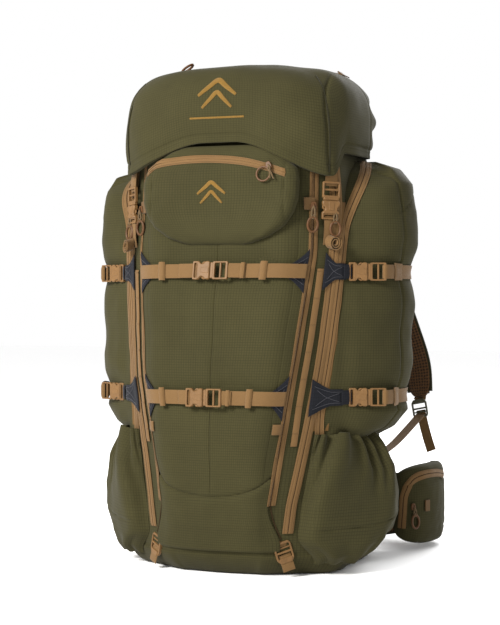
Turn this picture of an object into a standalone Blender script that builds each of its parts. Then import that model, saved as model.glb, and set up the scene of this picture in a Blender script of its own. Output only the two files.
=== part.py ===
"""Large internal-frame hunting backpack, stuffed and standing on its base.

Frame: metres, +Z up, the bag's front faces -Y, the harness is on +Y, and the
origin is the centre of the flat base.  Left and right are -X and +X.
"""
import math

import bpy
from mathutils import Vector

# ---------------------------------------------------------------- dimensions
GAP = 0.0003                 # clearance between faces that touch
WEB = 0.025                  # one-inch webbing
WEB_THICK = 0.002
WEB_LIFT = 0.002             # room under a strap for patch and zipper tape
BUCKLE_WIDE = 0.033
BUCKLE_HALF = 0.034          # length of one half of a side-release buckle
BUCKLE_THICK = 0.009

BAG_SIDE_X = 0.215
BAG_WALL = 0.005
BAG_FLOOR = 0.006
# z, front half width, front y, side x, front corner y, back corner y, back half width, back y
BAG_RINGS = (
    (0.000, 0.085, -0.150, 0.185, -0.075, 0.090, 0.165, 0.115),
    (0.035, 0.100, -0.178, BAG_SIDE_X, -0.095, 0.105, 0.190, 0.130),
    (0.130, 0.1045, -0.183, BAG_SIDE_X, -0.095, 0.105, 0.190, 0.130),
    (0.350, 0.141, -0.172, BAG_SIDE_X, -0.095, 0.105, 0.190, 0.130),
    (0.570, 0.167, -0.136, BAG_SIDE_X, -0.095, 0.105, 0.190, 0.130),
    (0.745, 0.165, -0.120, 0.205, -0.090, 0.070, 0.152, 0.118),
    (0.800, 0.150, -0.110, 0.185, -0.070, 0.060, 0.135, 0.105),
    (0.880, 0.125, -0.090, 0.160, -0.055, 0.055, 0.115, 0.090),
)
PANEL_INSET = 0.010          # front panel's edge inside the zipper line
PANEL_CROWN = 0.78           # flat share of the front panel's width
# z, front y of the front panel
PANEL_FRONT = ((0.040, -0.190), (0.130, -0.203), (0.350, -0.200), (0.570, -0.166), (0.706, -0.1547))

POCKET_TOP = 0.765
POCKET_BOTTOM = 0.590
POCKET_HALF = 0.148
POCKET_THICK = 0.022

LID_Y = -0.015               # centre of the lid's plan
LID_WALL = 0.010
LID_POWER = 3.6
LID_POINTS = 32
# z, half width, half depth of the lid's outside
LID_RINGS = ((0.800, 0.226, 0.165), (0.850, 0.222, 0.162), (0.885, 0.206, 0.146),
             (0.905, 0.168, 0.112), (0.916, 0.105, 0.066), (0.920, 0.045, 0.026))
LID_HINGE = (0.0, 0.152, 0.748)
LID_SIDE_HEM = 0.752
LID_FRONT_HEM = 0.774
LID_CORNER_DROP = 0.069

# plan section as y and bulge beyond the bag's side
SIDE_POCKET = ((-0.095, 0.0), (-0.066, 0.062), (-0.022, 0.090), (0.030, 0.090),
               (0.075, 0.058), (0.098, 0.0))
# z, share of the section's bulge
SIDE_POCKET_LEVELS = ((0.246, 0.50), (0.275, 0.87), (0.650, 1.0), (0.700, 0.94), (0.728, 0.76), (0.742, 0.45))
WING_POCKET = ((-0.085, 0.042), (-0.045, 0.068), (0.005, 0.066), (0.055, 0.040), (0.088, 0.0))
WING_LEVELS = ((0.036, 0.78), (0.080, 1.0), (0.130, 1.0), (0.200, 0.90), (0.242, 0.45))

STRAP_HEIGHTS = {"upper": 0.540, "lower": 0.317}
FRONT_BUCKLE_X = -0.0075     # where the two halves meet
BUCKLE_TRAVEL = 0.025

LID_BUCKLE_X = 0.1875
LID_BUCKLE_MEET = 0.6655
ZIP_SLIDER_Z = 0.655
LADDER_LOCK_X = 0.122

SHEET = ((-0.130, 0.1305, 0.100), (0.130, 0.1330, 0.700))
STAY_X = 0.100
STAY = (0.014, 0.004, 0.090, 0.715)
PAD_BACK = 0.1385            # front face of the padding behind the stays

YOKE = (0.0, 0.170, 0.600)
STRAP_ROUTE = ((0.062, 0.180, 0.600), (0.070, 0.205, 0.634), (0.085, 0.250, 0.655),
               (0.106, 0.312, 0.642), (0.126, 0.364, 0.588), (0.148, 0.398, 0.512),
               (0.172, 0.422, 0.430), (0.194, 0.432, 0.355), (0.203, 0.424, 0.285))
STRAP_WIDE = 0.062
STRAP_THICK = 0.014
STRAP_LOCK = (0.2035, 0.4175, 0.2640)
STRAP_ANCHOR = (0.172, 0.150, 0.172)
STERNUM_Z = 0.385
STERNUM_Y = 0.4435

HIP_HINGE = (0.122, 0.187, 0.0)
HIP_ROUTE = ((0.122, 0.187), (0.165, 0.190), (0.205, 0.212), (0.228, 0.255),
             (0.234, 0.305), (0.218, 0.360), (0.180, 0.396))
HIP_LOW = 0.030
HIP_HIGH = 0.150
HIP_THICK = 0.016
BELT_Z = 0.092
BELT_Y = 0.412

OLIVE = (0.102, 0.095, 0.046)
COYOTE = (0.340, 0.190, 0.085)
COYOTE_PLASTIC = (0.300, 0.160, 0.065)
MESH_BROWN = (0.062, 0.030, 0.012)
CARBON = (0.030, 0.030, 0.032)


# ------------------------------------------------------------------- helpers
def clear_scene():
    for obj in list(bpy.data.objects):
        bpy.data.objects.remove(obj, do_unlink=True)


def add_object(name, points, faces, look, pivot=(0.0, 0.0, 0.0), smooth=False):
    """Makes one node from world points, with its origin on its joint's axis."""
    colour, rough, metal = look
    origin = Vector(pivot)
    mesh = bpy.data.meshes.new(name)
    mesh.from_pydata([Vector(p) - origin for p in points], [], faces)
    mesh.validate()
    mesh.update()
    if smooth:
        mesh.shade_smooth()
        mesh.set_sharp_from_angle(angle=math.radians(35))
    material = bpy.data.materials.new(name)
    material.use_nodes = True
    shader = material.node_tree.nodes["Principled BSDF"]
    shader.inputs["Base Color"].default_value = (*colour, 1.0)
    shader.inputs["Roughness"].default_value = rough
    shader.inputs["Metallic"].default_value = metal
    mesh.materials.append(material)
    obj = bpy.data.objects.new(name, mesh)
    obj.location = origin
    bpy.context.scene.collection.objects.link(obj)
    return obj


def signed_volume(points, faces):
    total = 0.0
    for face in faces:
        a = Vector(points[face[0]])
        for i in range(1, len(face) - 1):
            total += a.dot(Vector(points[face[i]]).cross(Vector(points[face[i + 1]])))
    return total


def facing_out(points, faces):
    return faces if signed_volume(points, faces) > 0.0 else [tuple(reversed(f)) for f in faces]


def loft(name, rings, look, pivot=(0.0, 0.0, 0.0), smooth=False):
    """Closes a stack of rings that have the same number of points."""
    count = len(rings[0])
    points = [p for ring in rings for p in ring]
    faces = [tuple(range(count)), tuple(reversed(range(len(points) - count, len(points))))]
    for r in range(len(rings) - 1):
        for i in range(count):
            j = (i + 1) % count
            faces.append((r * count + j, r * count + i, (r + 1) * count + i, (r + 1) * count + j))
    return add_object(name, points, facing_out(points, faces), look, pivot, smooth)


def mirror_x(point, side):
    return (side * point[0], point[1], point[2])


def unit(vector):
    return Vector(vector).normalized()


def interpolate(table, z, column):
    for low, high in zip(table, table[1:]):
        if z <= high[0]:
            break
    share = (z - low[0]) / (high[0] - low[0])
    return low[column] + share * (high[column] - low[column])


def smoothstep(low, high, value):
    share = min(1.0, max(0.0, (value - low) / (high - low)))
    return share * share * (3.0 - 2.0 * share)


def offset_path(path, distance):
    """Moves an open 2D path sideways, to its left, with mitred corners."""
    moved = []
    for i, (x, y) in enumerate(path):
        normals = []
        if i > 0:
            step = unit((x - path[i - 1][0], y - path[i - 1][1], 0.0))
            normals.append(Vector((-step.y, step.x, 0.0)))
        if i < len(path) - 1:
            step = unit((path[i + 1][0] - x, path[i + 1][1] - y, 0.0))
            normals.append(Vector((-step.y, step.x, 0.0)))
        middle = sum(normals, Vector()).normalized()
        reach = distance / middle.dot(normals[0])
        moved.append((x + middle.x * reach, y + middle.y * reach))
    return moved


def outward_sign(path):
    """+1 when the left side of a plan path faces away from the pack's middle."""
    (x0, y0), (x1, y1) = path[0], path[1]
    facing = (y0 - y1) * (x0 + x1) + (x1 - x0) * (y0 + y1)
    return 1.0 if facing > 0.0 else -1.0


def band(name, low_path, high_path, z):
    """Upright webbing laid outside two plan paths, one under each of its edges."""
    sign = outward_sign(low_path)
    edges = ((low_path, WEB_LIFT, z - WEB / 2), (high_path, WEB_LIFT, z + WEB / 2),
             (high_path, WEB_LIFT + WEB_THICK, z + WEB / 2), (low_path, WEB_LIFT + WEB_THICK, z - WEB / 2))
    lines = [[(x, y, height) for x, y in offset_path(path, sign * lift)] for path, lift, height in edges]
    return loft(name, list(zip(*lines)), WEBBING)


def plate(name, outline, centre, along, normal, thick, look, pivot=None, chamfer=0.0015):
    """An outline (u along, v across) with thickness and one chamfer on its face."""
    u = unit(along)
    n = unit(Vector(normal) - u * Vector(normal).dot(u))
    v = n.cross(u)
    middle = Vector(centre)
    reach = max(max(abs(a), abs(b)) for a, b in outline)
    shrink = 1.0 - chamfer / reach
    rings = []
    for height, scale in ((0.0, 1.0), (thick - chamfer, 1.0), (thick, shrink)):
        rings.append([tuple(middle + u * a * scale + v * b * scale + n * height) for a, b in outline])
    return loft(name, rings, look, pivot or centre)


def ribbon(name, route, across, wide, thick, look, pivot=(0.0, 0.0, 0.0), taper=1.0):
    """A flat soft strap along a route; across(i) gives its width direction."""
    rings = []
    for i, here in enumerate(route):
        before = Vector(route[max(i - 1, 0)])
        after = Vector(route[min(i + 1, len(route) - 1)])
        tangent = (after - before).normalized()
        side = unit(across)
        side = (side - tangent * side.dot(tangent)).normalized()
        face = tangent.cross(side)
        share = i / (len(route) - 1)
        half = 0.5 * wide * (1.0 + (taper - 1.0) * share)
        corners = []
        for a, b in ((-1, -0.35), (-0.8, -0.5), (0.8, -0.5), (1, -0.35),
                     (1, 0.35), (0.8, 0.5), (-0.8, 0.5), (-1, 0.35)):
            corners.append(tuple(Vector(here) + side * half * a + face * thick * b))
        rings.append(corners)
    return loft(name, rings, look, pivot)


FABRIC = (OLIVE, 0.85, 0.0)
WEBBING = (COYOTE, 0.8, 0.0)
PLASTIC = (COYOTE_PLASTIC, 0.45, 0.0)
MESH_PAD = (MESH_BROWN, 0.9, 0.0)
COMPOSITE = (CARBON, 0.35, 0.0)


# ----------------------------------------------------------------- soft body
def bag_section(ring, inset=0.0):
    z, front_half, front_y, side_x, front_corner, back_corner, back_half, back_y = ring
    half = [(front_half, front_y), (side_x, front_corner), (side_x, back_corner), (back_half, back_y)]
    loop = half + [(-x, y) for x, y in reversed(half)]
    if inset:
        closed = [loop[-1]] + loop + [loop[0]]
        loop = offset_path(closed, inset)[1:-1]
    return loop


def bag_levels():
    """The bag's rings, with one more wherever a strap or a wing pocket needs a true edge."""
    extra = [level[0] for level in WING_LEVELS if level[0] > BAG_RINGS[1][0] + 0.01]
    for z in STRAP_HEIGHTS.values():
        extra += [z - WEB / 2, z + WEB / 2]
    heights = sorted(set([r[0] for r in BAG_RINGS] + extra))
    return [(z, *(interpolate(BAG_RINGS, z, column) for column in range(1, 8))) for z in heights]


def make_bag():
    levels = bag_levels()
    outer = [[(x, y, r[0]) for x, y in bag_section(r)] for r in levels]
    inner = []
    for r in levels:
        z = max(r[0], BAG_FLOOR)
        inner.append([(x, y, z) for x, y in bag_section(r, BAG_WALL)])
    rings = outer + list(reversed(inner))
    loft("main_bag", rings, FABRIC)


def make_front_panel():
    rings = []
    for z, front in PANEL_FRONT:
        half = interpolate(BAG_RINGS, z, 1) - PANEL_INSET
        back = interpolate(BAG_RINGS, z, 2) - 2 * GAP
        crown = half * PANEL_CROWN
        rings.append([(-half, back, z), (half, back, z), (half, back - 0.004, z),
                      (crown, front, z), (-crown, front, z), (-half, back - 0.004, z)])
    loft("front_panel", rings, FABRIC)


def panel_front(z):
    return interpolate(PANEL_FRONT[3:], z, 1)


def pocket_outline():
    right = [(0.050, POCKET_BOTTOM), (0.098, 0.603), (0.128, 0.626), (POCKET_HALF, 0.668), (POCKET_HALF, 0.716),
             (0.130, 0.733), (0.100, 0.754), (0.062, POCKET_TOP - 0.001)]
    return right + [(-x, z) for x, z in reversed(right)]


def make_front_pocket():
    middle = 0.5 * (POCKET_TOP + POCKET_BOTTOM)
    rings = []
    for depth, scale in ((2 * GAP, 1.0), (0.45 * POCKET_THICK, 1.0), (POCKET_THICK, 0.86)):
        ring = []
        for x, z in pocket_outline():
            high = middle + (z - middle) * scale
            ring.append((x * scale, panel_front(high) - depth, high))
        rings.append(ring)
    loft("front_pocket", rings, FABRIC)


def make_side_pocket(name, side):
    inner_x = BAG_SIDE_X + GAP
    rings = []
    for z, share in SIDE_POCKET_LEVELS:
        rings.append([(side * (inner_x + bulge * share), y, z) for y, bulge in SIDE_POCKET])
    loft(name, rings, FABRIC)


def make_wing_pocket(name, side):
    """Stretch pocket low on the side, gathered shut over its load."""
    inner_x = BAG_SIDE_X + GAP
    rings = []
    for z, share in WING_LEVELS:
        front_half = interpolate(BAG_RINGS, z, 1)
        front_y = interpolate(BAG_RINGS, z, 2)
        corner_y = interpolate(BAG_RINGS, z, 4)
        slope = unit((BAG_SIDE_X - front_half, corner_y - front_y, 0.0))
        away = Vector((slope.y, -slope.x, 0.0)) * 0.003
        start = Vector((BAG_SIDE_X, corner_y, 0.0)) - slope * 0.045 + away
        corner = Vector((inner_x + 0.003 * share, corner_y - 0.001, 0.0))
        section = [(start.x, start.y), (start.x + 0.016 * share, start.y - 0.014 * share)]
        section += [(inner_x + bulge * share, y) for y, bulge in WING_POCKET]
        section += [(corner.x - 0.003 * share, corner_y)]
        rings.append([(side * x, y, z) for x, y in section])
    loft(name, rings, FABRIC)


# ----------------------------------------------------------------------- lid
def lid_point(angle, half_width, half_depth):
    c = math.cos(angle)
    s = math.sin(angle)
    x = math.copysign(abs(c) ** (2.0 / LID_POWER), c) * half_width
    y = math.copysign(abs(s) ** (2.0 / LID_POWER), s) * half_depth + LID_Y
    return x, y


def lid_hem(x, y):
    front = LID_FRONT_HEM - LID_CORNER_DROP * smoothstep(0.07, 0.19, abs(x))
    share = smoothstep(0.085, 0.125, -y)
    return LID_SIDE_HEM + (front - LID_SIDE_HEM) * share


def lid_ring(half_width, half_depth, z=None):
    ring = []
    for i in range(LID_POINTS):
        x, y = lid_point(2.0 * math.pi * (i + 0.5) / LID_POINTS, half_width, half_depth)
        ring.append((x, y, lid_hem(x, y) if z is None else z))
    return ring


def make_lid():
    first = LID_RINGS[0]
    rings = [lid_ring(first[1] - LID_WALL, first[2] - LID_WALL), lid_ring(first[1], first[2])]
    rings += [lid_ring(w, d, z) for z, w, d in LID_RINGS]
    outer_faces = rings[1:]
    inner = [(LID_RINGS[2][0] + 0.003, 0.170, 0.105), (0.860, 0.200, 0.140), (0.805, 0.215, 0.154)]
    loops = outer_faces[::-1] + [rings[0]] + [lid_ring(w, d, z) for z, w, d in reversed(inner)]
    loft("lid", loops, FABRIC, LID_HINGE, smooth=True)


# -------------------------------------------------------------------- straps
def front_path(z, side, end_x):
    """Plan path over the front at one height, from the side seam to the centre."""
    front_half = interpolate(BAG_RINGS, z, 1)
    front_y = interpolate(BAG_RINGS, z, 2)
    corner_y = interpolate(BAG_RINGS, z, 4)
    crown = (front_half - PANEL_INSET) * PANEL_CROWN
    face_y = interpolate(PANEL_FRONT, z, 1)
    slope = unit((BAG_SIDE_X - front_half, corner_y - front_y, 0.0))
    start = (BAG_SIDE_X - slope.x * 0.012, corner_y - slope.y * 0.012)
    path = [start, (front_half, front_y), (crown, face_y), (end_x, face_y)]
    return [(side * x, y) for x, y in path]


def make_front_strap(level, label, side):
    z = STRAP_HEIGHTS[level]
    end_x = side * FRONT_BUCKLE_X + 0.020
    low = front_path(z - WEB / 2, side, end_x)
    high = front_path(z + WEB / 2, side, end_x)
    band("front_strap_%s_%s" % (level, label), low, high, z)


def side_facet(z):
    """Start, direction and outward normal of the side pocket's front facet."""
    share = interpolate(SIDE_POCKET_LEVELS, z, 1)
    (y0, x0), (y1, x1) = SIDE_POCKET[:2]
    start = Vector((BAG_SIDE_X + x0 * share, y0, 0.0))
    direction = unit(((x1 - x0) * share, y1 - y0, 0.0))
    return start, direction, Vector((direction.y, -direction.x, 0.0))


def make_side_strap(level, label, side):
    z = STRAP_HEIGHTS[level]
    paths = []
    for edge in (z - WEB / 2, z + WEB / 2):
        share = interpolate(SIDE_POCKET_LEVELS, edge, 1)
        start, direction, _ = side_facet(edge)
        begin = start + direction * (0.004 + BUCKLE_HALF + 0.010)
        path = [(begin.x, begin.y)]
        path += [(BAG_SIDE_X + bulge * share, y) for y, bulge in SIDE_POCKET[1:5]]
        path += [(BAG_SIDE_X + 0.004, SIDE_POCKET[5][0] + 0.003), (BAG_SIDE_X - 0.012, 0.118)]
        paths.append([(side * x, y) for x, y in path])
    band("side_strap_%s_%s" % (level, label), *paths, z)


# ------------------------------------------------------------------- buckles
def female_outline():
    half = BUCKLE_WIDE / 2
    return [(0.0, -half), (0.0, half), (0.012, half), (0.018, half - 0.002), (0.022, WEB / 2 + 0.001),
            (BUCKLE_HALF, WEB / 2 + 0.001), (BUCKLE_HALF, -WEB / 2 - 0.001), (0.022, -WEB / 2 - 0.001),
            (0.018, 0.002 - half), (0.012, -half)]


def male_outline():
    half = WEB / 2 + 0.002
    return [(0.0, -0.013), (0.0, 0.013), (0.010, 0.013), (0.012, half), (BUCKLE_HALF, half),
            (BUCKLE_HALF, -half), (0.012, -half), (0.010, -0.013)]


def make_buckle(name, meet, toward_male, normal):
    """Both halves of a side-release buckle, meeting at one point."""
    direction = unit(toward_male)
    lift = unit(normal) * GAP
    female = Vector(meet) + lift - direction * GAP
    male = Vector(meet) + lift + direction * GAP
    plate(name + "_female", female_outline(), female, -direction, normal, BUCKLE_THICK, PLASTIC)
    plate(name + "_male", male_outline(), male, direction, normal, BUCKLE_THICK - 0.002, PLASTIC)


def make_front_buckle(level):
    z = STRAP_HEIGHTS[level]
    faces = [interpolate(PANEL_FRONT, z + s * WEB / 2, 1) for s in (-1, 1)]
    slope = (faces[1] - faces[0]) / WEB
    y = 0.5 * sum(faces) - WEB_LIFT - WEB_THICK
    normal = unit((0.0, -1.0, slope))
    make_buckle("front_buckle_" + level, (FRONT_BUCKLE_X, y, z), (1.0, 0.0, 0.0), normal)


def make_side_buckle(level, label, side):
    start, direction, normal = side_facet(STRAP_HEIGHTS[level])
    meet = start + direction * (0.004 + BUCKLE_HALF) + normal * (WEB_LIFT + WEB_THICK + 0.0005)
    meet.z = STRAP_HEIGHTS[level]
    mirrored = [mirror_x(p, side) for p in (meet, direction, normal)]
    make_buckle("side_buckle_%s_%s" % (level, label), *mirrored)


def bag_corner(z, x):
    """Point and outward normal on the slanted face between front and side."""
    front = Vector((interpolate(BAG_RINGS, z, 1), interpolate(BAG_RINGS, z, 2), z))
    corner = Vector((interpolate(BAG_RINGS, z, 3), interpolate(BAG_RINGS, z, 4), z))
    along = corner - front
    point = front + along * ((x - front.x) / along.x)
    return point, unit((along.y, -along.x, 0.0))


def make_lid_buckle(label, side):
    point, normal = bag_corner(LID_BUCKLE_MEET, LID_BUCKLE_X)
    meet = point + normal * 0.008
    up = unit((0.0, 0.06, 1.0))
    mirrored = [mirror_x(p, side) for p in (meet, up, normal)]
    direction, face = mirrored[1], mirrored[2]
    plate("lid_buckle_%s_female" % label, female_outline(), Vector(mirrored[0]) - Vector(direction) * GAP,
          -Vector(direction), face, BUCKLE_THICK, PLASTIC)
    plate("lid_buckle_%s_male" % label, male_outline(), Vector(mirrored[0]) + Vector(direction) * GAP,
          direction, face, BUCKLE_THICK - 0.002, PLASTIC, LID_HINGE)


def make_ladder_lock(name, centre, along, normal, pivot=None):
    outline = [(-0.019, -0.011), (-0.019, 0.011), (-0.012, 0.016), (0.014, 0.016), (0.019, 0.013),
               (0.019, -0.013), (0.014, -0.016), (-0.012, -0.016)]
    plate(name, outline, centre, along, normal, 0.006, PLASTIC, pivot)


# --------------------------------------------------------------- zip sliders
def slider_outline():
    return [(-0.008, -0.004), (-0.008, 0.004), (-0.002, 0.006), (0.006, 0.006), (0.012, 0.004),
            (0.036, 0.0045), (0.040, 0.0), (0.036, -0.0045), (0.012, -0.004), (0.006, -0.006),
            (-0.002, -0.006)]


def make_main_slider(label, side):
    z = ZIP_SLIDER_Z
    point = Vector((interpolate(BAG_RINGS, z, 1) + 0.001, interpolate(BAG_RINGS, z, 2), z))
    normal = unit((0.35, -0.937, 0.0))
    centre = point + normal * 0.004
    plate("main_zip_slider_" + label, slider_outline(), mirror_x(centre, side), (0.0, -0.09, -1.0),
          mirror_x(normal, side), 0.006, PLASTIC)


def make_pocket_slider():
    z = 0.722
    slope = (panel_front(z) - panel_front(z - 0.05)) / 0.05
    y = panel_front(z) - POCKET_THICK - 0.001
    plate("front_pocket_slider", slider_outline(), (0.108, y, z), (0.35, -0.94 * slope, -0.94),
          (0.0, -1.0, slope), 0.006, PLASTIC)


def make_lid_slider():
    centre = (-0.152, 0.030, LID_RINGS[3][0] + 0.0068)
    plate("lid_zip_slider", slider_outline(), centre, (-1.0, 0.0, -0.16), (-0.16, 0.0, 1.0), 0.006, PLASTIC)


# ------------------------------------------------------------ frame and pads
def box(name, low, high, look):
    (x0, y0, z0), (x1, y1, z1) = low, high
    rings = [[(x0, y0, z), (x1, y0, z), (x1, y1, z), (x0, y1, z)] for z in (z0, z1)]
    return loft(name, rings, look)


def make_frame():
    box("frame_sheet", SHEET[0], SHEET[1], COMPOSITE)
    wide, thick, low, high = STAY
    front = SHEET[1][1] + GAP
    for label, side in SIDES:
        x = side * STAY_X
        box("frame_stay_" + label, (x - wide / 2, front, low), (x + wide / 2, front + thick, high), COMPOSITE)


def make_pad(name, half_top, half_bottom, low, high, thick):
    """Crowned back padding: narrow top, wide foot, chamfered edge all round."""
    edge = 0.012
    outline = [(-half_bottom, low + edge), (-half_bottom + edge, low), (half_bottom - edge, low),
               (half_bottom, low + edge), (half_top, high - edge), (half_top - edge, high),
               (edge - half_top, high), (-half_top, high - edge)]
    middle = 0.5 * (low + high)
    rings = []
    for depth, scale in ((0.0, 1.0), (0.6 * thick, 1.0), (thick, 0.86)):
        rings.append([(x * scale, PAD_BACK + depth, middle + (z - middle) * scale) for x, z in outline])
    loft(name, rings, MESH_PAD)


def make_haul_loop():
    route = ((-0.038, 0.1425, 0.672), (-0.036, 0.158, 0.704), (-0.020, 0.166, 0.722), (0.020, 0.166, 0.722),
             (0.036, 0.158, 0.704), (0.038, 0.1425, 0.672))
    ribbon("haul_loop", route, (0.0, 1.0, -0.2), 0.012, 0.003, WEBBING)


# ------------------------------------------------------------------- harness
def make_shoulder_strap(label, side):
    route = [mirror_x(p, side) for p in STRAP_ROUTE]
    ribbon("shoulder_strap_" + label, route, (1.0, 0.0, 0.0), STRAP_WIDE, STRAP_THICK, MESH_PAD, YOKE, 0.75)
    lock = Vector(mirror_x(STRAP_LOCK, side))
    direction = unit(mirror_x((0.20, -0.12, -1.0), side))
    make_ladder_lock("ladder_lock_" + label, lock, direction, (0.0, 1.0, -0.1), YOKE)
    start = lock + direction * 0.024 + Vector((0.0, 0.002, 0.0))
    anchor = Vector(mirror_x(STRAP_ANCHOR, side))
    middle = start.lerp(anchor, 0.5) - Vector((0.0, 0.0, 0.004))
    ribbon("shoulder_webbing_" + label, (tuple(start), tuple(middle), tuple(anchor)), (1.0, 0.0, 0.0),
           0.020, WEB_THICK, WEBBING)


def make_sternum_strap():
    half = 0.150
    edge = WEB_THICK / 2
    z = STERNUM_Z
    low = (-half, STERNUM_Y - edge, z - 0.010)
    high = (half, STERNUM_Y + edge, z + 0.010)
    box("sternum_webbing", low, high, WEBBING)
    outline = [(-0.024, -0.012), (-0.024, 0.012), (-0.010, 0.014), (0.010, 0.014), (0.024, 0.011),
               (0.024, -0.011), (0.010, -0.014), (-0.010, -0.014)]
    plate("sternum_buckle", outline, (0.0, STERNUM_Y + edge + GAP, z), (1.0, 0.0, 0.0), (0.0, 1.0, 0.0),
          0.007, PLASTIC)


def hip_plan(lift, thick):
    """Closed plan outline along the hip wing's curve, lifted to one side of it."""
    inner = offset_path(HIP_ROUTE, -lift)
    outer = offset_path(HIP_ROUTE, -lift - thick)
    return inner, outer


def make_hip_side(label, side):
    pivot = mirror_x(HIP_HINGE, side)
    inner, outer = hip_plan(-HIP_THICK / 2, HIP_THICK)
    rings = []
    for i, (a, b) in enumerate(zip(inner, outer)):
        share = i / (len(inner) - 1)
        low = HIP_LOW + 0.030 * share ** 2
        high = HIP_HIGH - 0.020 * share ** 2
        ring = [(*a, low), (*b, low), (*b, high), (*a, high)]
        rings.append([mirror_x(p, side) for p in ring])
    loft("hip_wing_" + label, rings, MESH_PAD, pivot)
    pouch_inner, pouch_outer = hip_plan(HIP_THICK / 2 + 2 * GAP, 0.042)
    rings = []
    for z, share in ((0.010, 0.55), (0.030, 1.0), (0.140, 1.0), (0.168, 0.60)):
        ring = []
        span = range(2, 6)
        for i in span:
            ring.append((*pouch_inner[i], z))
        for i in reversed(span):
            reach = share * (0.55 if i in (2, 5) else 1.0)
            a = Vector((*pouch_inner[i], 0.0))
            b = Vector((*pouch_outer[i], 0.0))
            c = a.lerp(b, reach)
            ring.append((c.x, c.y, z))
        rings.append([mirror_x(p, side) for p in ring])
    loft("belt_pouch_" + label, rings, FABRIC, pivot)
    tip = Vector((*inner[-1], 0.0)).lerp(Vector((*outer[-1], 0.0)), 0.5)
    plan = [(tip.x - 0.004, tip.y + 0.0025), (0.120, BELT_Y + 0.002), (0.030, BELT_Y + 0.002)]
    back = offset_path(plan, -WEB_THICK)
    rings = []
    for a, b in zip(plan, back):
        ring = [(*a, BELT_Z - 0.019), (*b, BELT_Z - 0.019), (*b, BELT_Z + 0.019), (*a, BELT_Z + 0.019)]
        rings.append([mirror_x(p, side) for p in ring])
    loft("belt_webbing_" + label, rings, WEBBING, pivot)
    half = 0.026
    outline = [(0.0, -half), (0.0, half), (0.020, half), (0.034, 0.020), (0.040, 0.020), (0.040, -0.020),
               (0.034, -0.020), (0.020, -half)]
    name = "belt_buckle_" + ("male" if side > 0 else "female")
    plate(name, outline, (side * 0.008, BELT_Y + 0.002 + WEB_THICK + GAP, BELT_Z), (side, 0.0, 0.0),
          (0.0, 1.0, 0.0), 0.010, PLASTIC, pivot)


SIDES = (("left", -1.0), ("right", 1.0))


def main():
    clear_scene()
    make_bag()
    make_front_panel()
    make_front_pocket()
    make_lid()
    make_pocket_slider()
    make_lid_slider()
    make_frame()
    make_pad("back_pad", 0.105, 0.125, 0.345, 0.640, 0.026)
    make_pad("lumbar_pad", 0.118, 0.112, 0.025, 0.330, 0.034)
    make_haul_loop()
    make_sternum_strap()
    for level in STRAP_HEIGHTS:
        make_front_buckle(level)
    for label, side in SIDES:
        make_side_pocket("side_pocket_" + label, side)
        make_wing_pocket("wing_pocket_" + label, side)
        make_lid_buckle(label, side)
        make_main_slider(label, side)
        point, normal = bag_corner(0.045, LADDER_LOCK_X)
        make_ladder_lock("base_lock_" + label, mirror_x(point + normal * 0.003, side), (0.0, 0.0, 1.0),
                         mirror_x(normal, side))
        make_shoulder_strap(label, side)
        make_hip_side(label, side)
        for level in STRAP_HEIGHTS:
            make_front_strap(level, label, side)
            make_side_strap(level, label, side)
            make_side_buckle(level, label, side)


main()
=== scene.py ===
"""Looks of the hunting backpack: soft shells, webbing, zippers, buckles and their materials."""
import math

import bpy
import numpy as np
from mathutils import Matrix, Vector, noise
from mathutils.bvhtree import BVHTree


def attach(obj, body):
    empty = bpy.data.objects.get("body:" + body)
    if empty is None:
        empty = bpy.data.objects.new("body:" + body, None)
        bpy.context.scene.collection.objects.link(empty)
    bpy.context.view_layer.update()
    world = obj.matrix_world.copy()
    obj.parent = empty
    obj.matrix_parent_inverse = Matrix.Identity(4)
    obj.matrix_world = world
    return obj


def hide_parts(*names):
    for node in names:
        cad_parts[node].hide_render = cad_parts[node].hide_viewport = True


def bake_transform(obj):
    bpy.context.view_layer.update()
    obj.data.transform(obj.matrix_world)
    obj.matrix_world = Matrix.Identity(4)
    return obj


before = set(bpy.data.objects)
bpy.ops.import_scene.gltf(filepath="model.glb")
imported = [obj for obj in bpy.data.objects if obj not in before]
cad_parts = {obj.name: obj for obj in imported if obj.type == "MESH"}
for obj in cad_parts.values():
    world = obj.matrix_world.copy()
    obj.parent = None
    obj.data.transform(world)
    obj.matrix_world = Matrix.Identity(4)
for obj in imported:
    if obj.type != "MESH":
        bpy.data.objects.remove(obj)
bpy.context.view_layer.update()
SIDES = (("left", -1.0), ("right", 1.0))
INCH = 0.025
STRAP_HEIGHTS = (0.540, 0.317)
LEVELS = tuple(zip(("upper", "lower"), STRAP_HEIGHTS))
SIDE_PLANE = 0.2145
INNER_PLANE = 0.2095
LID_TOP = 0.920
FORWARD = (0.0, -1.0, 0.0)
BACKWARD = (0.0, 1.0, 0.0)
DOWN = (0.0, 0.0, -1.0)
UP = (0.0, 0.0, 1.0)


# ------------------------------------------------------------------ camera and light
def make_camera():
    azimuth = math.radians(22.0)
    distance = 3.0
    eye = Vector((distance * math.sin(azimuth), -distance * math.cos(azimuth), 0.49))
    target = Vector((-0.007, -0.003, 0.466))
    data = bpy.data.cameras.new("camera")
    data.lens = 91.6
    data.sensor_width = 36.0
    camera = bpy.data.objects.new("camera", data)
    camera.location = eye
    camera.rotation_euler = (target - eye).to_track_quat("-Z", "Y").to_euler()
    bpy.context.scene.collection.objects.link(camera)
    bpy.context.scene.camera = camera


def add_area(name, place, target, size, power, colour):
    data = bpy.data.lights.new(name, "AREA")
    data.shape = "DISK"
    data.size = size
    data.energy = power
    data.color = colour
    light = bpy.data.objects.new(name, data)
    light.location = place
    light.rotation_euler = (Vector(target) - Vector(place)).to_track_quat("-Z", "Y").to_euler()
    bpy.context.scene.collection.objects.link(light)


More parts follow.
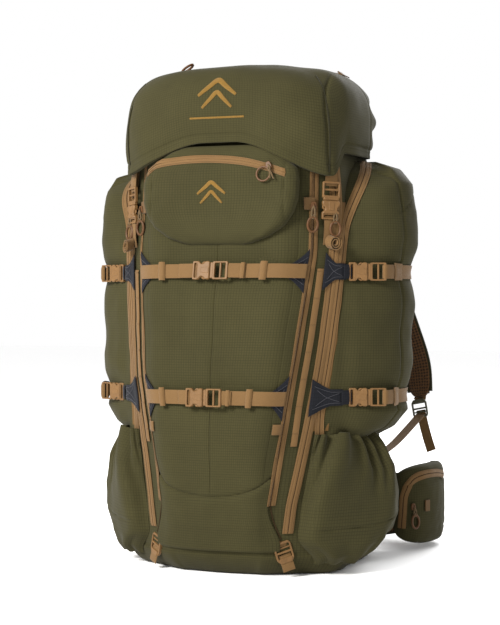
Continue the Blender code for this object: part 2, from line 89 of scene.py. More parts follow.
def make_stage():
    world = bpy.data.worlds.new("studio")
    world.use_nodes = True
    background = world.node_tree.nodes["Background"]
    background.inputs["Color"].default_value = (1.0, 1.0, 1.0, 1.0)
    background.inputs["Strength"].default_value = 1.0
    bpy.context.scene.world = world
    bpy.context.scene.view_settings.view_transform = "Standard"
    middle = (0.0, 0.0, 0.45)
    add_area("key_light", (-1.25, -2.95, 2.1), middle, 1.4, 270.0, (1.0, 0.98, 0.94))
    add_area("back_light", (0.6, 2.8, 2.2), middle, 1.6, 110.0, (1.0, 1.0, 1.0))
    mesh = bpy.data.meshes.new("floor")
    reach = 12.0
    corners = [(-reach, -reach, 0), (reach, -reach, 0), (reach, reach, 0), (-reach, reach, 0)]
    mesh.from_pydata(corners, [], [(0, 1, 2, 3)])
    floor = bpy.data.objects.new("floor", mesh)
    bpy.context.scene.collection.objects.link(floor)
    material = bpy.data.materials.new("floor_paper")
    material.use_nodes = True
    shader = material.node_tree.nodes["Principled BSDF"]
    shader.inputs["Base Color"].default_value = (0.97, 0.97, 0.97, 1.0)
    shader.inputs["Roughness"].default_value = 0.9
    mesh.materials.append(material)


# ------------------------------------------------------------------------- materials
class Nodes:
    """Small helper that adds and links shader nodes."""

    def __init__(self, name):
        self.material = bpy.data.materials.new(name)
        self.material.use_nodes = True
        self.tree = self.material.node_tree
        self.shader = self.tree.nodes["Principled BSDF"]

    def add(self, kind, **values):
        node = self.tree.nodes.new(kind)
        for key, value in values.items():
            setattr(node, key, value)
        return node

    def link(self, source, target):
        self.tree.links.new(source, target)

    def math(self, operation, a, b=None):
        node = self.add("ShaderNodeMath", operation=operation)
        for i, value in enumerate((a, b)):
            if value is None:
                continue
            if isinstance(value, (int, float)):
                node.inputs[i].default_value = value
            else:
                self.link(value, node.inputs[i])
        return node.outputs[0]

    def coordinates(self, kind="Object", scale=(1.0, 1.0, 1.0), turn=0.0):
        source = self.add("ShaderNodeTexCoord").outputs[kind]
        mapping = self.add("ShaderNodeMapping")
        mapping.inputs["Scale"].default_value = scale
        mapping.inputs["Rotation"].default_value = (0.0, 0.0, turn)
        self.link(source, mapping.inputs["Vector"])
        return mapping.outputs["Vector"]

    def noise(self, vector, scale, detail=3.0, rough=0.5):
        node = self.add("ShaderNodeTexNoise")
        node.inputs["Scale"].default_value = scale
        node.inputs["Detail"].default_value = detail
        node.inputs["Roughness"].default_value = rough
        self.link(vector, node.inputs["Vector"])
        return node.outputs["Fac"]

    def wave(self, vector, scale, direction="X", profile="SIN", distortion=0.0):
        node = self.add("ShaderNodeTexWave", wave_type="BANDS", bands_direction=direction,
                        wave_profile=profile)
        node.inputs["Scale"].default_value = scale
        node.inputs["Distortion"].default_value = distortion
        node.inputs["Detail"].default_value = 0.0
        self.link(vector, node.inputs["Vector"])
        return node.outputs["Fac"]

    def ramp(self, factor, stops):
        node = self.add("ShaderNodeValToRGB")
        elements = node.color_ramp.elements
        while len(elements) < len(stops):
            elements.new(0.5)
        for element, (place, colour) in zip(elements, stops):
            element.position = place
            element.color = (*colour, 1.0)
        self.link(factor, node.inputs["Fac"])
        return node.outputs["Color"]

    def bump(self, height, strength, distance):
        node = self.add("ShaderNodeBump")
        node.inputs["Strength"].default_value = strength
        node.inputs["Distance"].default_value = distance
        self.link(height, node.inputs["Height"])
        self.link(node.outputs["Normal"], self.shader.inputs["Normal"])


def shade(colour, factor):
    return tuple(min(1.0, c * factor) for c in colour)


def waves_per_metre(pitch):
    """Blender's band wave repeats every 2 pi / 20 units at scale 1."""
    return 2.0 * math.pi / 20.0 / pitch


def fabric_material(name, colour, thread=0.0011, grid=0.0046, contrast=0.27, uv="UV", sheen=0.03):
    """Ripstop cloth: fine plain weave, a thicker thread grid and slow colour drift."""
    n = Nodes(name)
    cloth = n.coordinates(uv)
    body = n.coordinates("Object")
    weft = n.wave(cloth, waves_per_metre(thread), "Y")
    warp = n.wave(cloth, waves_per_metre(thread), "X")
    weave = n.math("MULTIPLY", n.math("ADD", weft, warp), 0.5)
    rib_a = n.math("POWER", n.wave(cloth, waves_per_metre(grid), "X"), 14.0)
    rib_b = n.math("POWER", n.wave(cloth, waves_per_metre(grid), "Y"), 14.0)
    ribs = n.math("MAXIMUM", rib_a, rib_b)
    drift = n.noise(body, 7.0, 4.0, 0.6)
    fibre = n.noise(body, 420.0, 2.0, 0.6)
    tone = n.math("ADD", n.math("MULTIPLY", weave, 0.30), n.math("MULTIPLY", drift, 0.45))
    tone = n.math("ADD", tone, n.math("MULTIPLY", fibre, 0.22))
    tone = n.math("ADD", tone, n.math("MULTIPLY", ribs, -0.36))
    stops = [(0.22, shade(colour, 1.0 - contrast * 1.4)), (0.50, colour),
             (0.80, shade(colour, 1.0 + contrast * 1.3))]
    n.link(n.ramp(tone, stops), n.shader.inputs["Base Color"])
    n.link(n.math("ADD", n.math("MULTIPLY", fibre, 0.12), 0.76), n.shader.inputs["Roughness"])
    n.shader.inputs["Sheen Weight"].default_value = sheen
    n.shader.inputs["Sheen Roughness"].default_value = 0.5
    n.shader.inputs["Specular IOR Level"].default_value = 0.06
    height = n.math("ADD", n.math("MULTIPLY", weave, 0.5), n.math("MULTIPLY", ribs, 0.4))
    n.bump(height, 0.4, 0.0003)
    return n.material


def webbing_material(name, colour, rib=0.0018, contrast=0.18):
    """Narrow woven tape: raised ribs across it, a herringbone twill and fuzz."""
    n = Nodes(name)
    cloth = n.coordinates("UV")
    body = n.coordinates("Object")
    ribs = n.wave(cloth, waves_per_metre(rib), "Y")
    twill = n.wave(n.coordinates("UV", turn=math.radians(38)), waves_per_metre(0.0013), "X")
    fuzz = n.noise(body, 700.0, 2.0, 0.6)
    drift = n.noise(body, 16.0, 3.0, 0.6)
    tone = n.math("ADD", n.math("MULTIPLY", ribs, 0.34), n.math("MULTIPLY", twill, 0.22))
    tone = n.math("ADD", tone, n.math("ADD", n.math("MULTIPLY", fuzz, 0.20), n.math("MULTIPLY", drift, 0.26)))
    stops = [(0.22, shade(colour, 1.0 - contrast * 1.6)), (0.52, colour),
             (0.82, shade(colour, 1.0 + contrast))]
    n.link(n.ramp(tone, stops), n.shader.inputs["Base Color"])
    n.link(n.math("ADD", n.math("MULTIPLY", fuzz, 0.16), 0.66), n.shader.inputs["Roughness"])
    n.shader.inputs["Sheen Weight"].default_value = 0.08
    n.shader.inputs["Specular IOR Level"].default_value = 0.15
    n.bump(n.math("ADD", n.math("MULTIPLY", ribs, 0.7), n.math("MULTIPLY", twill, 0.4)), 0.6, 0.0004)
    return n.material


def plastic_material(name, colour, rough=0.52):
    """Moulded acetal: satin face with fine spark-eroded grain and worn lighter patches."""
    n = Nodes(name)
    body = n.coordinates("Object")
    grain = n.noise(body, 1500.0, 2.0, 0.6)
    wear = n.noise(body, 60.0, 4.0, 0.65)
    stops = [(0.30, shade(colour, 0.82)), (0.55, colour), (0.80, shade(colour, 1.16))]
    n.link(n.ramp(wear, stops), n.shader.inputs["Base Color"])
    n.link(n.math("ADD", n.math("MULTIPLY", grain, 0.2), rough - 0.1), n.shader.inputs["Roughness"])
    n.shader.inputs["Specular IOR Level"].default_value = 0.22
    n.bump(grain, 0.25, 0.0002)
    return n.material


def mesh_material(name, colour, cell=0.0062):
    """Spacer mesh: raised knit hexagons round holes that are painted near-black as the shade inside them."""
    n = Nodes(name)
    cloth = n.coordinates("UV", scale=(1.0, 1.0, 0.0))
    cells = n.add("ShaderNodeTexVoronoi", feature="F1", voronoi_dimensions="2D")
    cells.inputs["Scale"].default_value = 1.0 / cell
    cells.inputs["Randomness"].default_value = 0.15
    n.link(cloth, cells.inputs["Vector"])
    distance = cells.outputs["Distance"]
    fuzz = n.noise(n.coordinates("Object"), 500.0, 2.0, 0.6)
    tone = n.math("ADD", distance, n.math("MULTIPLY", fuzz, 0.12))
    # Painted shade: the ramp darkens each hole to near-black at the cell centre and gives the raised knit a lighter
    # tone.
    stops = [(0.16, shade(colour, 0.10)), (0.34, shade(colour, 0.75)), (0.62, shade(colour, 1.5))]
    n.link(n.ramp(tone, stops), n.shader.inputs["Base Color"])
    n.link(n.math("ADD", n.math("MULTIPLY", fuzz, 0.1), 0.8), n.shader.inputs["Roughness"])
    n.shader.inputs["Sheen Weight"].default_value = 0.05
    n.shader.inputs["Specular IOR Level"].default_value = 0.15
    n.bump(n.math("MINIMUM", distance, 0.5), 0.9, 0.0022)
    return n.material


def thread_material(name, colour, pitch=0.0009):
    """Embroidery thread laid in close parallel rows."""
    n = Nodes(name)
    rows = n.wave(n.coordinates("UV", turn=math.radians(25)), waves_per_metre(pitch), "X", distortion=0.4)
    patchy = n.noise(n.coordinates("Object"), 240.0)
    tone = n.math("ADD", n.math("MULTIPLY", rows, 0.7), n.math("MULTIPLY", patchy, 0.3))
    stops = [(0.2, shade(colour, 0.6)), (0.5, colour), (0.85, shade(colour, 1.25))]
    n.link(n.ramp(tone, stops), n.shader.inputs["Base Color"])
    n.link(n.math("ADD", n.math("MULTIPLY", rows, -0.2), 0.6), n.shader.inputs["Roughness"])
    n.shader.inputs["Sheen Weight"].default_value = 0.05
    n.shader.inputs["Specular IOR Level"].default_value = 0.15
    n.bump(rows, 0.7, 0.0004)
    return n.material


OLIVE_COLOUR = (0.0305, 0.0272, 0.0104)
COYOTE_COLOUR = (0.104, 0.056, 0.0186)
OLIVE = fabric_material("olive_ripstop", OLIVE_COLOUR)
OLIVE_PLAIN = fabric_material("olive_lining", shade(OLIVE_COLOUR, 0.55), sheen=0.1)
COYOTE_CLOTH = fabric_material("coyote_cloth", shade(COYOTE_COLOUR, 0.85), contrast=0.10)
COYOTE = webbing_material("coyote_webbing", COYOTE_COLOUR)
COIL = webbing_material("zipper_coil", shade(COYOTE_COLOUR, 0.86), rib=0.0016, contrast=0.3)
# Painted shadow: the dark line between zipper tapes and along the seam below each long zipper.
SHADOW_LINE = fabric_material("zipper_shadow", (0.030, 0.017, 0.008), sheen=0.0)
PATCH = fabric_material("patch_cloth", (0.0085, 0.0090, 0.0118), thread=0.0009, contrast=0.25, sheen=0.05)
PATCH_PLAIN = fabric_material("patch_lining", (0.011, 0.0115, 0.014), sheen=0.05)
COYOTE_TAB = webbing_material("coyote_tab", shade(COYOTE_COLOUR, 0.9), rib=0.0015)
STITCH = webbing_material("patch_thread", (0.030, 0.030, 0.036), rib=0.001)
PLASTIC = plastic_material("coyote_acetal", (0.114, 0.058, 0.0185))
GREEN_PLASTIC = plastic_material("olive_acetal", (0.045, 0.043, 0.026))
PULL = plastic_material("pull_tube", (0.062, 0.025, 0.0060), 0.5)
CORD = webbing_material("pull_cord", (0.095, 0.060, 0.026), rib=0.0012)
MESH = mesh_material("spacer_mesh", (0.040, 0.0185, 0.0058))
MESH_DARK = mesh_material("spacer_mesh_dark", (0.026, 0.0135, 0.0048))
GOLD = thread_material("embroidery_thread", (0.135, 0.072, 0.0100))
SHEET = plastic_material("frame_sheet_plastic", (0.016, 0.016, 0.017), 0.5)


def metal_material():
    n = Nodes("stay_aluminium")
    brushed = n.noise(n.coordinates("Object", scale=(1.0, 1.0, 0.02)), 900.0, 2.0)
    stops = [(0.3, (0.060, 0.060, 0.064)), (0.7, (0.120, 0.120, 0.125))]
    n.link(n.ramp(brushed, stops), n.shader.inputs["Base Color"])
    n.link(n.math("ADD", n.math("MULTIPLY", brushed, 0.25), 0.25), n.shader.inputs["Roughness"])
    n.shader.inputs["Metallic"].default_value = 1.0
    n.bump(brushed, 0.2, 0.0001)
    return n.material


METAL = metal_material()


# ------------------------------------------------------------------------ mesh tools
def new_object(name, points, faces, material, uvs=None, smooth=True, sharp=40.0):
    mesh = bpy.data.meshes.new(name)
    mesh.from_pydata([tuple(p) for p in points], [], faces)
    if uvs is not None:
        layer = mesh.uv_layers.new(name="UVMap")
        flat = np.asarray(uvs, np.float32)[[i for f in faces for i in f]].reshape(-1)
        layer.data.foreach_set("uv", flat)
    mesh.materials.append(material)
    if smooth:
        mesh.shade_smooth()
        mesh.set_sharp_from_angle(angle=math.radians(sharp))
    obj = bpy.data.objects.new(name, mesh)
    bpy.context.scene.collection.objects.link(obj)
    return obj


def lengths(grid, axis):
    """Running length in metres along one axis of a grid of points, averaged over the other."""
    steps = np.linalg.norm(np.diff(grid, axis=axis), axis=2)
    mean = steps.mean(axis=1 - axis)
    return np.concatenate([[0.0], np.cumsum(mean)])


def normals_of(grid, closed=False):
    across = np.roll(grid, -1, 1) - np.roll(grid, 1, 1) if closed else np.gradient(grid, axis=1)
    along = np.gradient(grid, axis=0)
    normal = np.cross(across, along)
    size = np.linalg.norm(normal, axis=2, keepdims=True)
    return normal / np.maximum(size, 1e-12)


def rim_of(rows, cols):
    """Indices round the edge of a grid, in the order that faces its outer side."""
    rim = [c for c in range(cols)]
    rim += [r * cols + cols - 1 for r in range(1, rows)]
    rim += [(rows - 1) * cols + c for c in range(cols - 2, -1, -1)]
    return rim + [r * cols for r in range(rows - 2, 0, -1)]


def two_sided(name, outer, inner, uv, material, sharp=40.0):
    """Closed shell between two grids of the same shape, sewn together round the rim."""
    rows, cols = outer.shape[:2]
    count = rows * cols
    faces = []
    for r in range(rows - 1):
        for c in range(cols - 1):
            a = r * cols + c
            faces.append((a, a + 1, a + cols + 1, a + cols))
            faces.append((count + a, count + a + cols, count + a + cols + 1, count + a + 1))
    rim = rim_of(rows, cols)
    for i, a in enumerate(rim):
        b = rim[(i + 1) % len(rim)]
        faces.append((a, count + a, count + b, b))
    points = np.concatenate([outer.reshape(-1, 3), inner.reshape(-1, 3)])
    return new_object(name, points, faces, material, np.concatenate([uv, uv]), sharp=sharp)


def cloth_uv(grid):
    """Texture coordinates in metres along the rows and columns of a grid."""
    return np.stack(np.meshgrid(lengths(grid, 1), lengths(grid, 0)), axis=2).reshape(-1, 2)


def slab(name, grid, thick, material, lift=0.0, round_edge=0.0):
    """A closed sheet: rows go up, columns go so that the cross product points outwards."""
    normal = normals_of(grid)
    top = np.full(grid.shape[:2] + (1,), lift + thick)
    if round_edge > 0.0:
        top[0] -= round_edge
        top[-1] -= round_edge
        top[:, 0] -= round_edge
        top[:, -1] -= round_edge
    return two_sided(name, grid + normal * top, grid + normal * lift, cloth_uv(grid), material)


def tube_grid(name, grid, material, caps=True, sharp=50.0):
    """Closed rings (columns wrap) stacked in rows, with fan caps at both ends."""
    rows, cols = grid.shape[:2]
    points = list(grid.reshape(-1, 3))
    closed = np.concatenate([grid, grid[:, :1]], axis=1)
    u = lengths(closed, 1)[:-1]
    v = lengths(grid, 0)
    uv = [tuple(p) for p in np.stack(np.meshgrid(u, v), axis=2).reshape(-1, 2)]
    faces = []
    for r in range(rows - 1):
        for c in range(cols):
            d = (c + 1) % cols
            faces.append((r * cols + c, r * cols + d, (r + 1) * cols + d, (r + 1) * cols + c))
    if caps:
        for row, flip in ((0, True), (rows - 1, False)):
            centre = len(points)
            points.append(grid[row].mean(axis=0))
            uv.append((float(np.mean(u)), float(v[row])))
            for c in range(cols):
                a, b = row * cols + c, row * cols + (c + 1) % cols
                faces.append((b, a, centre) if flip else (a, b, centre))
    return new_object(name, points, faces, material, uv, sharp=sharp)


def catmull(points, samples):
    """Smooth curve through points, as an array of samples."""
    p = np.asarray(points, float)
    ends = [2 * p[0] - p[1]], [2 * p[-1] - p[-2]]
    q = np.concatenate([ends[0], p, ends[1]])
    t = np.linspace(0.0, len(p) - 1.0, samples)
    k = np.minimum(t.astype(int), len(p) - 2)
    f = (t - k)[:, None]
    a, b, c, d = q[k], q[k + 1], q[k + 2], q[k + 3]
    return 0.5 * (2 * b + (c - a) * f + (2 * a - 5 * b + 4 * c - d) * f ** 2 + (3 * b - a - 3 * c + d) * f ** 3)


def rough(points, scale, seed=0.0):
    """Perlin noise at each point of a grid."""
    flat = points.reshape(-1, 3)
    value = [noise.noise(Vector(p) * scale + Vector((seed, seed * 1.7, -seed))) for p in flat]
    return np.array(value).reshape(points.shape[:-1])


def rounded(value, power):
    """Signed power, which squares off a circle's sine or cosine."""
    return np.sign(value) * np.abs(value) ** power


def unit_rows(vectors):
    return vectors / np.linalg.norm(vectors, axis=-1, keepdims=True)


def relax(values, times):
    """Evens out the rows of an array, in place, with both ends held."""
    for _ in range(times):
        values[1:-1] = 0.25 * values[:-2] + 0.5 * values[1:-1] + 0.25 * values[2:]
    return values


def groove(distance, width, depth):
    return -depth * np.exp(-(distance / width) ** 2)


def smooth_step(low, high, value):
    t = np.clip((value - low) / (high - low), 0.0, 1.0)
    return t * t * (3.0 - 2.0 * t)


def join(name, objects):
    """Joins pieces of one part into one object, keeping each one's material."""
    for obj in bpy.context.selected_objects:
        obj.select_set(False)
    with bpy.context.temp_override(active_object=objects[0], selected_editable_objects=objects):
        bpy.ops.object.join()
    objects[0].name = name
    objects[0].data.name = name
    return objects[0]


# --------------------------------------------------------------------- body surface
BAG_Z = (0.000, 0.035, 0.130, 0.350, 0.570, 0.745, 0.800, 0.885)
FRONT_HALF = (0.088, 0.100, 0.1045, 0.141, 0.167, 0.165, 0.150, 0.125)
FRONT_Y = (-0.170, -0.179, -0.184, -0.173, -0.137, -0.121, -0.110, -0.090)
SIDE_X = (0.205, SIDE_PLANE, SIDE_PLANE, SIDE_PLANE, SIDE_PLANE, 0.204, 0.185, 0.160)
CORNER_Y = (-0.092, -0.096, -0.096, -0.096, -0.096, -0.090, -0.070, -0.055)
PANEL_Z = (0.000, 0.040, 0.090, 0.130, 0.240, 0.350, 0.460, 0.570, 0.706, 0.765, 0.820, 0.885)
PANEL_Y = (-0.176, -0.192, -0.201, -0.204, -0.206, -0.2015, -0.186, -0.167, -0.1555, -0.150, -0.115, -0.095)
BACK_CORNER = (0.080, 0.100, 0.100, 0.100, 0.100, 0.072, 0.060, 0.050)
BACK_HALF = (0.178, 0.188, 0.188, 0.188, 0.188, 0.152, 0.135, 0.112)
BACK_Y = (0.122, 0.1295, 0.1295, 0.1295, 0.1295, 0.118, 0.105, 0.088)
BASE_ROUND = 0.035
KNOTS = 9


def body_point(s, z):
    """Point on the bag's outside. s counts seams from the front centre: 3 is the long front
    zipper, 5 the corner to the side, 7 and 8 the back corner, 9 the back centre."""
    s, z = np.broadcast_arrays(np.asarray(s, float), np.asarray(z, float))
    half = np.interp(z, BAG_Z, FRONT_HALF)
    front = np.interp(z, BAG_Z, FRONT_Y)
    side = np.interp(z, BAG_Z, SIDE_X)
    corner = np.interp(z, BAG_Z, CORNER_Y)
    face = np.interp(z, PANEL_Z, PANEL_Y)
    back_corner = np.interp(z, BAG_Z, BACK_CORNER)
    back_half = np.interp(z, BAG_Z, BACK_HALF)
    back = np.interp(z, BAG_Z, BACK_Y)
    zero = np.zeros_like(half)
    xs = [zero, 0.40 * half, 0.76 * half, half, 0.5 * (half + side) + 0.002, side, side, side, back_half, zero]
    ys = [face - 0.003, face - 0.001, face + 0.004, front, 0.5 * (front + corner) - 0.003, corner,
          0.5 * (corner + back_corner), back_corner, back, back]
    xs = np.stack([-xs[1]] + xs + [-xs[8]])
    ys = np.stack([ys[1]] + ys + [ys[8]])
    t = np.minimum(np.abs(s), KNOTS - 1e-9)
    k = t.astype(int)
    f = t - k
    out = []
    for table in (xs, ys):
        a, b, c, d = (np.take_along_axis(table, (k + i)[None], 0)[0] for i in range(4))
        out.append(0.5 * (2 * b + (c - a) * f + (2 * a - 5 * b + 4 * c - d) * f ** 2
                          + (3 * b - a - 3 * c + d) * f ** 3))
    x, y = out
    low = np.clip(1.0 - z / BASE_ROUND, 0.0, 1.0)
    inset = BASE_ROUND * 0.75 * (1.0 - np.sqrt(1.0 - low ** 2 * 0.999))
    radius = np.maximum(np.hypot(x, y), 1e-6)
    shrink = 1.0 - inset / radius
    return np.stack([np.sign(s + 1e-12) * x * shrink, y * shrink, z], axis=-1)


def body_grid(left, right, heights, columns):
    """Grid on the body between two s values that may change with height."""
    z = np.asarray(heights, float)
    a = np.asarray([left(h) if callable(left) else left for h in z])[:, None]
    b = np.asarray([right(h) if callable(right) else right for h in z])[:, None]
    share = np.linspace(0.0, 1.0, columns)[None]
    return body_point(a + (b - a) * share, z[:, None] + 0.0 * share)


def arc_rate(s, z):
    """Metres of cloth per unit of s."""
    a = body_point(s - 0.02, z)
    b = body_point(s + 0.02, z)
    return float(np.linalg.norm(b - a)) / 0.04


def body_ribbon(name, path, width, thick, material, lift, ground, columns=5, body="pack", rows=70):
    """Tape of constant width whose middle follows path, a list of (z, s), laid on the cloth."""
    z_known = [p[0] for p in path]
    s_known = [p[1] for p in path]
    z = np.linspace(z_known[0], z_known[-1], rows)
    s = relax(np.interp(z, z_known, s_known), max(rows // 16, 1) * 3)
    middle = body_point(s, z)
    tangent = unit_rows(np.gradient(middle, axis=0))
    shift = np.linspace(-0.5, 0.5, columns)
    grid = np.zeros((rows, columns, 3))
    away = np.zeros_like(grid)
    for i in range(rows):
        rate = arc_rate(s[i], z[i])
        lean = min(1.0 / max(abs(tangent[i, 2]), 0.5), 1.6)
        n = outward_at(s[i], z[i])
        for j, share in enumerate(shift):
            grid[i, j] = body_point(s[i] + share * width / rate * lean, z[i])
            away[i, j] = n
    grid = ground.lay(grid, away, 0.0)
    if rows > 10:
        relax(grid, 4)
    obj = slab(name, grid, thick, material, lift, round_edge=thick * 0.5)
    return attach(obj, body) if body else obj


# ------------------------------------------------------------------------- main bag
LONG_ZIP = ((0.128, 3.0), (0.350, 3.0), (0.745, 3.02))
SIDE_ZIP = ((0.078, 3.50), (0.257, 3.77), (0.300, 3.84), (0.430, 4.08), (0.606, 4.34), (0.640, 4.44),
            (0.667, 4.52), (0.700, 4.44), (0.740, 4.30))
POCKET_EDGE = ((0.246, 4.25), (0.300, 4.32), (0.430, 4.64), (0.610, 5.00), (0.650, 5.10), (0.690, 5.30),
               (0.720, 5.60), (0.742, 6.00))
DAISY = ((0.232, 3.42), (0.300, 3.41), (0.347, 3.43), (0.430, 3.50), (0.545, 3.55))


def at_height(path):
    """Value of a (z, s) path as a function of height."""
    heights = [p[0] for p in path]
    values = [p[1] for p in path]
    return lambda z: float(np.interp(z, heights, values))


def make_bag():
    heights = np.concatenate([np.linspace(0.0, 0.06, 16), np.linspace(0.068, 0.83, 110)])
    s = np.linspace(-9.0, 9.0, 241)[:-1]
    grid = body_point(s[None, :], heights[:, None])
    outward = normals_of(grid, closed=True)
    lower_seam = groove(grid[..., 2] - 0.041, 0.0028, 0.0022)
    wrinkle = 0.0030 * rough(grid * (1.0, 1.0, 0.7), 9.0) + 0.0012 * rough(grid, 30.0, 4.0)
    swell = wrinkle + lower_seam - 0.0012
    swell[heights < 0.006] = 0.0
    grid = grid + outward * swell[..., None]
    grid[..., 2] = np.maximum(grid[..., 2], 0.0)
    bag = tube_grid("main_bag_shell", grid, OLIVE)
    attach(bag, "pack")
    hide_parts("main_bag")
    return bag


def make_collar():
    """Drawstring throat under the lid, gathered into folds."""
    heights = np.linspace(0.815, 0.882, 24)
    turn = np.linspace(-9.0, 9.0, 241)[:-1]
    grid = body_point(turn[None, :], heights[:, None])
    share = (heights - heights[0]) / (heights[-1] - heights[0])
    folds = np.sin(turn * 14.0)[None, :] * share[:, None] * 0.006 - 0.02 * share[:, None] ** 2
    grid = grid + normals_of(grid, closed=True) * folds[..., None]
    collar = tube_grid("throat_collar", grid, OLIVE_PLAIN)
    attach(collar, "pack")
    centre = grid[-1].mean(axis=0)
    ring = grid[-1] * 0.985 + centre * 0.015 + np.array([0.0, 0.0, 0.001])
    cord = sweep("throat_cord", np.concatenate([ring, ring[:1]])[::4], 0.0018, CORD)
    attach(cord, "pack")


def make_front_panel():
    heights = np.concatenate([np.linspace(0.046, 0.24, 66), np.linspace(0.243, 0.765, 130)])
    reach = 2.90

    def right(z):
        return reach + 0.42 * float(smooth_step(0.128, 0.055, z))

    grid = body_grid(lambda z: -right(z), right, heights, 171)
    s = np.linspace(-reach, reach, 171)[None, :]
    z = heights[:, None] + 0.0 * s
    outward = normals_of(grid)
    boot = 0.142 + 0.036 * (np.abs(s) / reach) ** 2.2
    swell = groove(z - boot, 0.0030, 0.0030) + 0.0022 * smooth_step(0.004, -0.012, z - boot)
    for knot in (-2.42, 2.42):
        swell = swell + groove((s - knot) * 0.055, 0.0016, 0.0020) * smooth_step(0.0, 0.01, z - boot)
    swell = swell + groove(s * 0.055, 0.0012, 0.0013) * smooth_step(0.0, 0.01, z - boot)
    for level in STRAP_HEIGHTS:
        away = np.abs(z - level)
        swell = swell - 0.0030 * np.exp(-(away / 0.030) ** 2) + 0.0022 * np.exp(-((away - 0.055) / 0.03) ** 2)
    pull = np.sin(s * 5.2 + z * 30.0) * np.exp(-((z - 0.56) / 0.05) ** 2) * 0.0012
    sag = np.sin(z * 85.0 + s * 2.0 + 1.0) * np.exp(-((z - 0.20) / 0.06) ** 2) * 0.0009
    bumps = 0.0036 * rough(grid * (1.0, 1.0, 0.55), 8.0, 2.0) + 0.0012 * rough(grid, 26.0, 7.0)
    swell = swell + pull + sag + bumps
    panel = slab("front_panel_cloth", grid + outward * swell[..., None], 0.0024, OLIVE, 0.0006, 0.0016)
    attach(panel, "pack")
    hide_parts("front_panel")
    return panel


def outward_at(s, z):
    across = body_point(s + 0.02, z) - body_point(s - 0.02, z)
    along = body_point(s, z + 0.002) - body_point(s, z - 0.002)
    n = np.cross(across, along)
    return n / np.linalg.norm(n)


def sweep(name, points, radius, material, sides=8, closed=False):
    """A round tube along points, as a closed mesh."""
    p = np.asarray(points, float)
    tangent = np.roll(p, -1, 0) - np.roll(p, 1, 0) if closed else np.gradient(p, axis=0)
    tangent /= np.maximum(np.linalg.norm(tangent, axis=1, keepdims=True), 1e-9)
    side = np.cross(tangent[0], UP)
    if np.linalg.norm(side) < 1e-3:
        side = np.cross(tangent[0], (1.0, 0.0, 0.0))
    side /= np.linalg.norm(side)
    rings = []
    for q, t in zip(p, tangent):
        side = side - t * np.dot(side, t)
        side /= np.linalg.norm(side)
        up = np.cross(t, side)
        angle = np.linspace(0.0, 2.0 * np.pi, sides, endpoint=False)[:, None]
        rings.append(q + radius * (np.cos(angle) * side + np.sin(angle) * up))
    if closed:
        rings.append(rings[0])
    return tube_grid(name, np.array(rings), material, caps=not closed)


# -------------------------------------------------------------------------- zippers
def make_zipper(name, path, width, lift, ground, body="pack", rows=110):
    """Two tapes, the shadow line between them and the coil on each side of it."""
    parts = [body_ribbon(name + "_tape", path, width, 0.0012, COYOTE, lift, ground, 7, None, rows),
             body_ribbon(name + "_shadow", path, 0.0014, 0.0006, SHADOW_LINE, lift + 0.0010, ground, 3, None, rows)]
    strips = (("_welt", 0.0030, 0.0044, 0.0010, COYOTE, 0.0009),
              ("_seam", width * 0.36, 0.0007, 0.0005, COIL, 0.0010))
    for sign in (-1.0, 1.0):
        for part, shift, wide, thick, material, rise in strips:
            moved = [(z, s + sign * shift / arc_rate(s, z)) for z, s in path]
            height = lift + rise
            parts.append(body_ribbon(name + part, moved, wide, thick, material, height, ground, 3, None, rows))
    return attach(join(name, parts), body)


def make_body_zippers(ground):
    for label, side in SIDES:
        heights = np.linspace(0.258, 0.664, 80)
        inner = at_height(SIDE_ZIP)
        outer = at_height(POCKET_EDGE)
        if side > 0:
            grid = body_grid(lambda z: inner(z) + 0.1, lambda z: outer(z) + 0.15, heights, 13)
        else:
            grid = body_grid(lambda z: -outer(z) - 0.15, lambda z: -inner(z) - 0.1, heights, 13)
        laid = ground.lay(grid, normals_of(grid), 0.0)
        gusset = slab("coyote_gusset_" + label, laid, 0.0010, COYOTE_CLOTH, 0.0004)
        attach(gusset, "pack")
        long_path = [(z, side * s) for z, s in LONG_ZIP]
        make_zipper("long_zipper_" + label, long_path, 0.0170, 0.0012, ground)
        seam = [(0.068, side * 3.35), (0.100, side * 3.12), (0.128, side * 3.0)]
        # This seam is a strip of painted shadow, drawn in the zipper shadow material.
        body_ribbon("zipper_end_seam_" + label, seam, 0.0016, 0.0008, SHADOW_LINE, 0.0012, ground, rows=20)
        tab = [(0.254, side * 2.66), (0.272, side * 2.66)]
        body_ribbon("lower_tab_" + label, tab, 0.0170, 0.0028, COYOTE_TAB, 0.0020, ground, rows=9)
        side_path = [(z, side * s) for z, s in SIDE_ZIP]
        make_zipper("side_zipper_" + label, side_path, 0.0200, 0.0016, ground)
        daisy = [(z, side * s) for z, s in DAISY]
        body_ribbon("daisy_webbing_" + label, daisy, 0.0115, 0.0016, COYOTE, 0.0024, ground, rows=60)
        for i in range(7):
            z = 0.255 + i * 0.0475
            s = at_height(DAISY)(z) * side
            bar = [(z - 0.0011, s), (z + 0.0011, s)]
            body_ribbon("bartack_%s_%d" % (label, i), bar, 0.0116, 0.0008, COIL, 0.0038, ground, rows=3)


# ----------------------------------------------------------------------- side pockets
POCKET_BULGE = ((-0.066, 0.062), (-0.022, 0.090), (0.030, 0.090), (0.075, 0.058))
POCKET_SHARE_Z = (0.246, 0.262, 0.290, 0.650, 0.700, 0.728, 0.742)
POCKET_SHARE = (0.20, 0.60, 0.87, 1.0, 0.93, 0.70, 0.25)


def side_pocket_section(z, columns):
    """One height of a side pocket, from its front zipper round to the frame."""
    share = float(np.interp(z, POCKET_SHARE_Z, POCKET_SHARE))
    start = body_point(at_height(POCKET_EDGE)(z), z)
    end = body_point(7.55, z)
    low_share = smooth_step(0.30, 0.246, z)
    points = [start[:2]]
    for y, bulge in POCKET_BULGE:
        lean = y if y > start[1] + 0.012 else start[1] + 0.014
        points.append((SIDE_PLANE + bulge * share * (1.0 - 0.1 * low_share), lean))
    points.append(end[:2])
    curve = catmull(points, columns)
    return np.concatenate([curve, np.full((columns, 1), z)], axis=1)


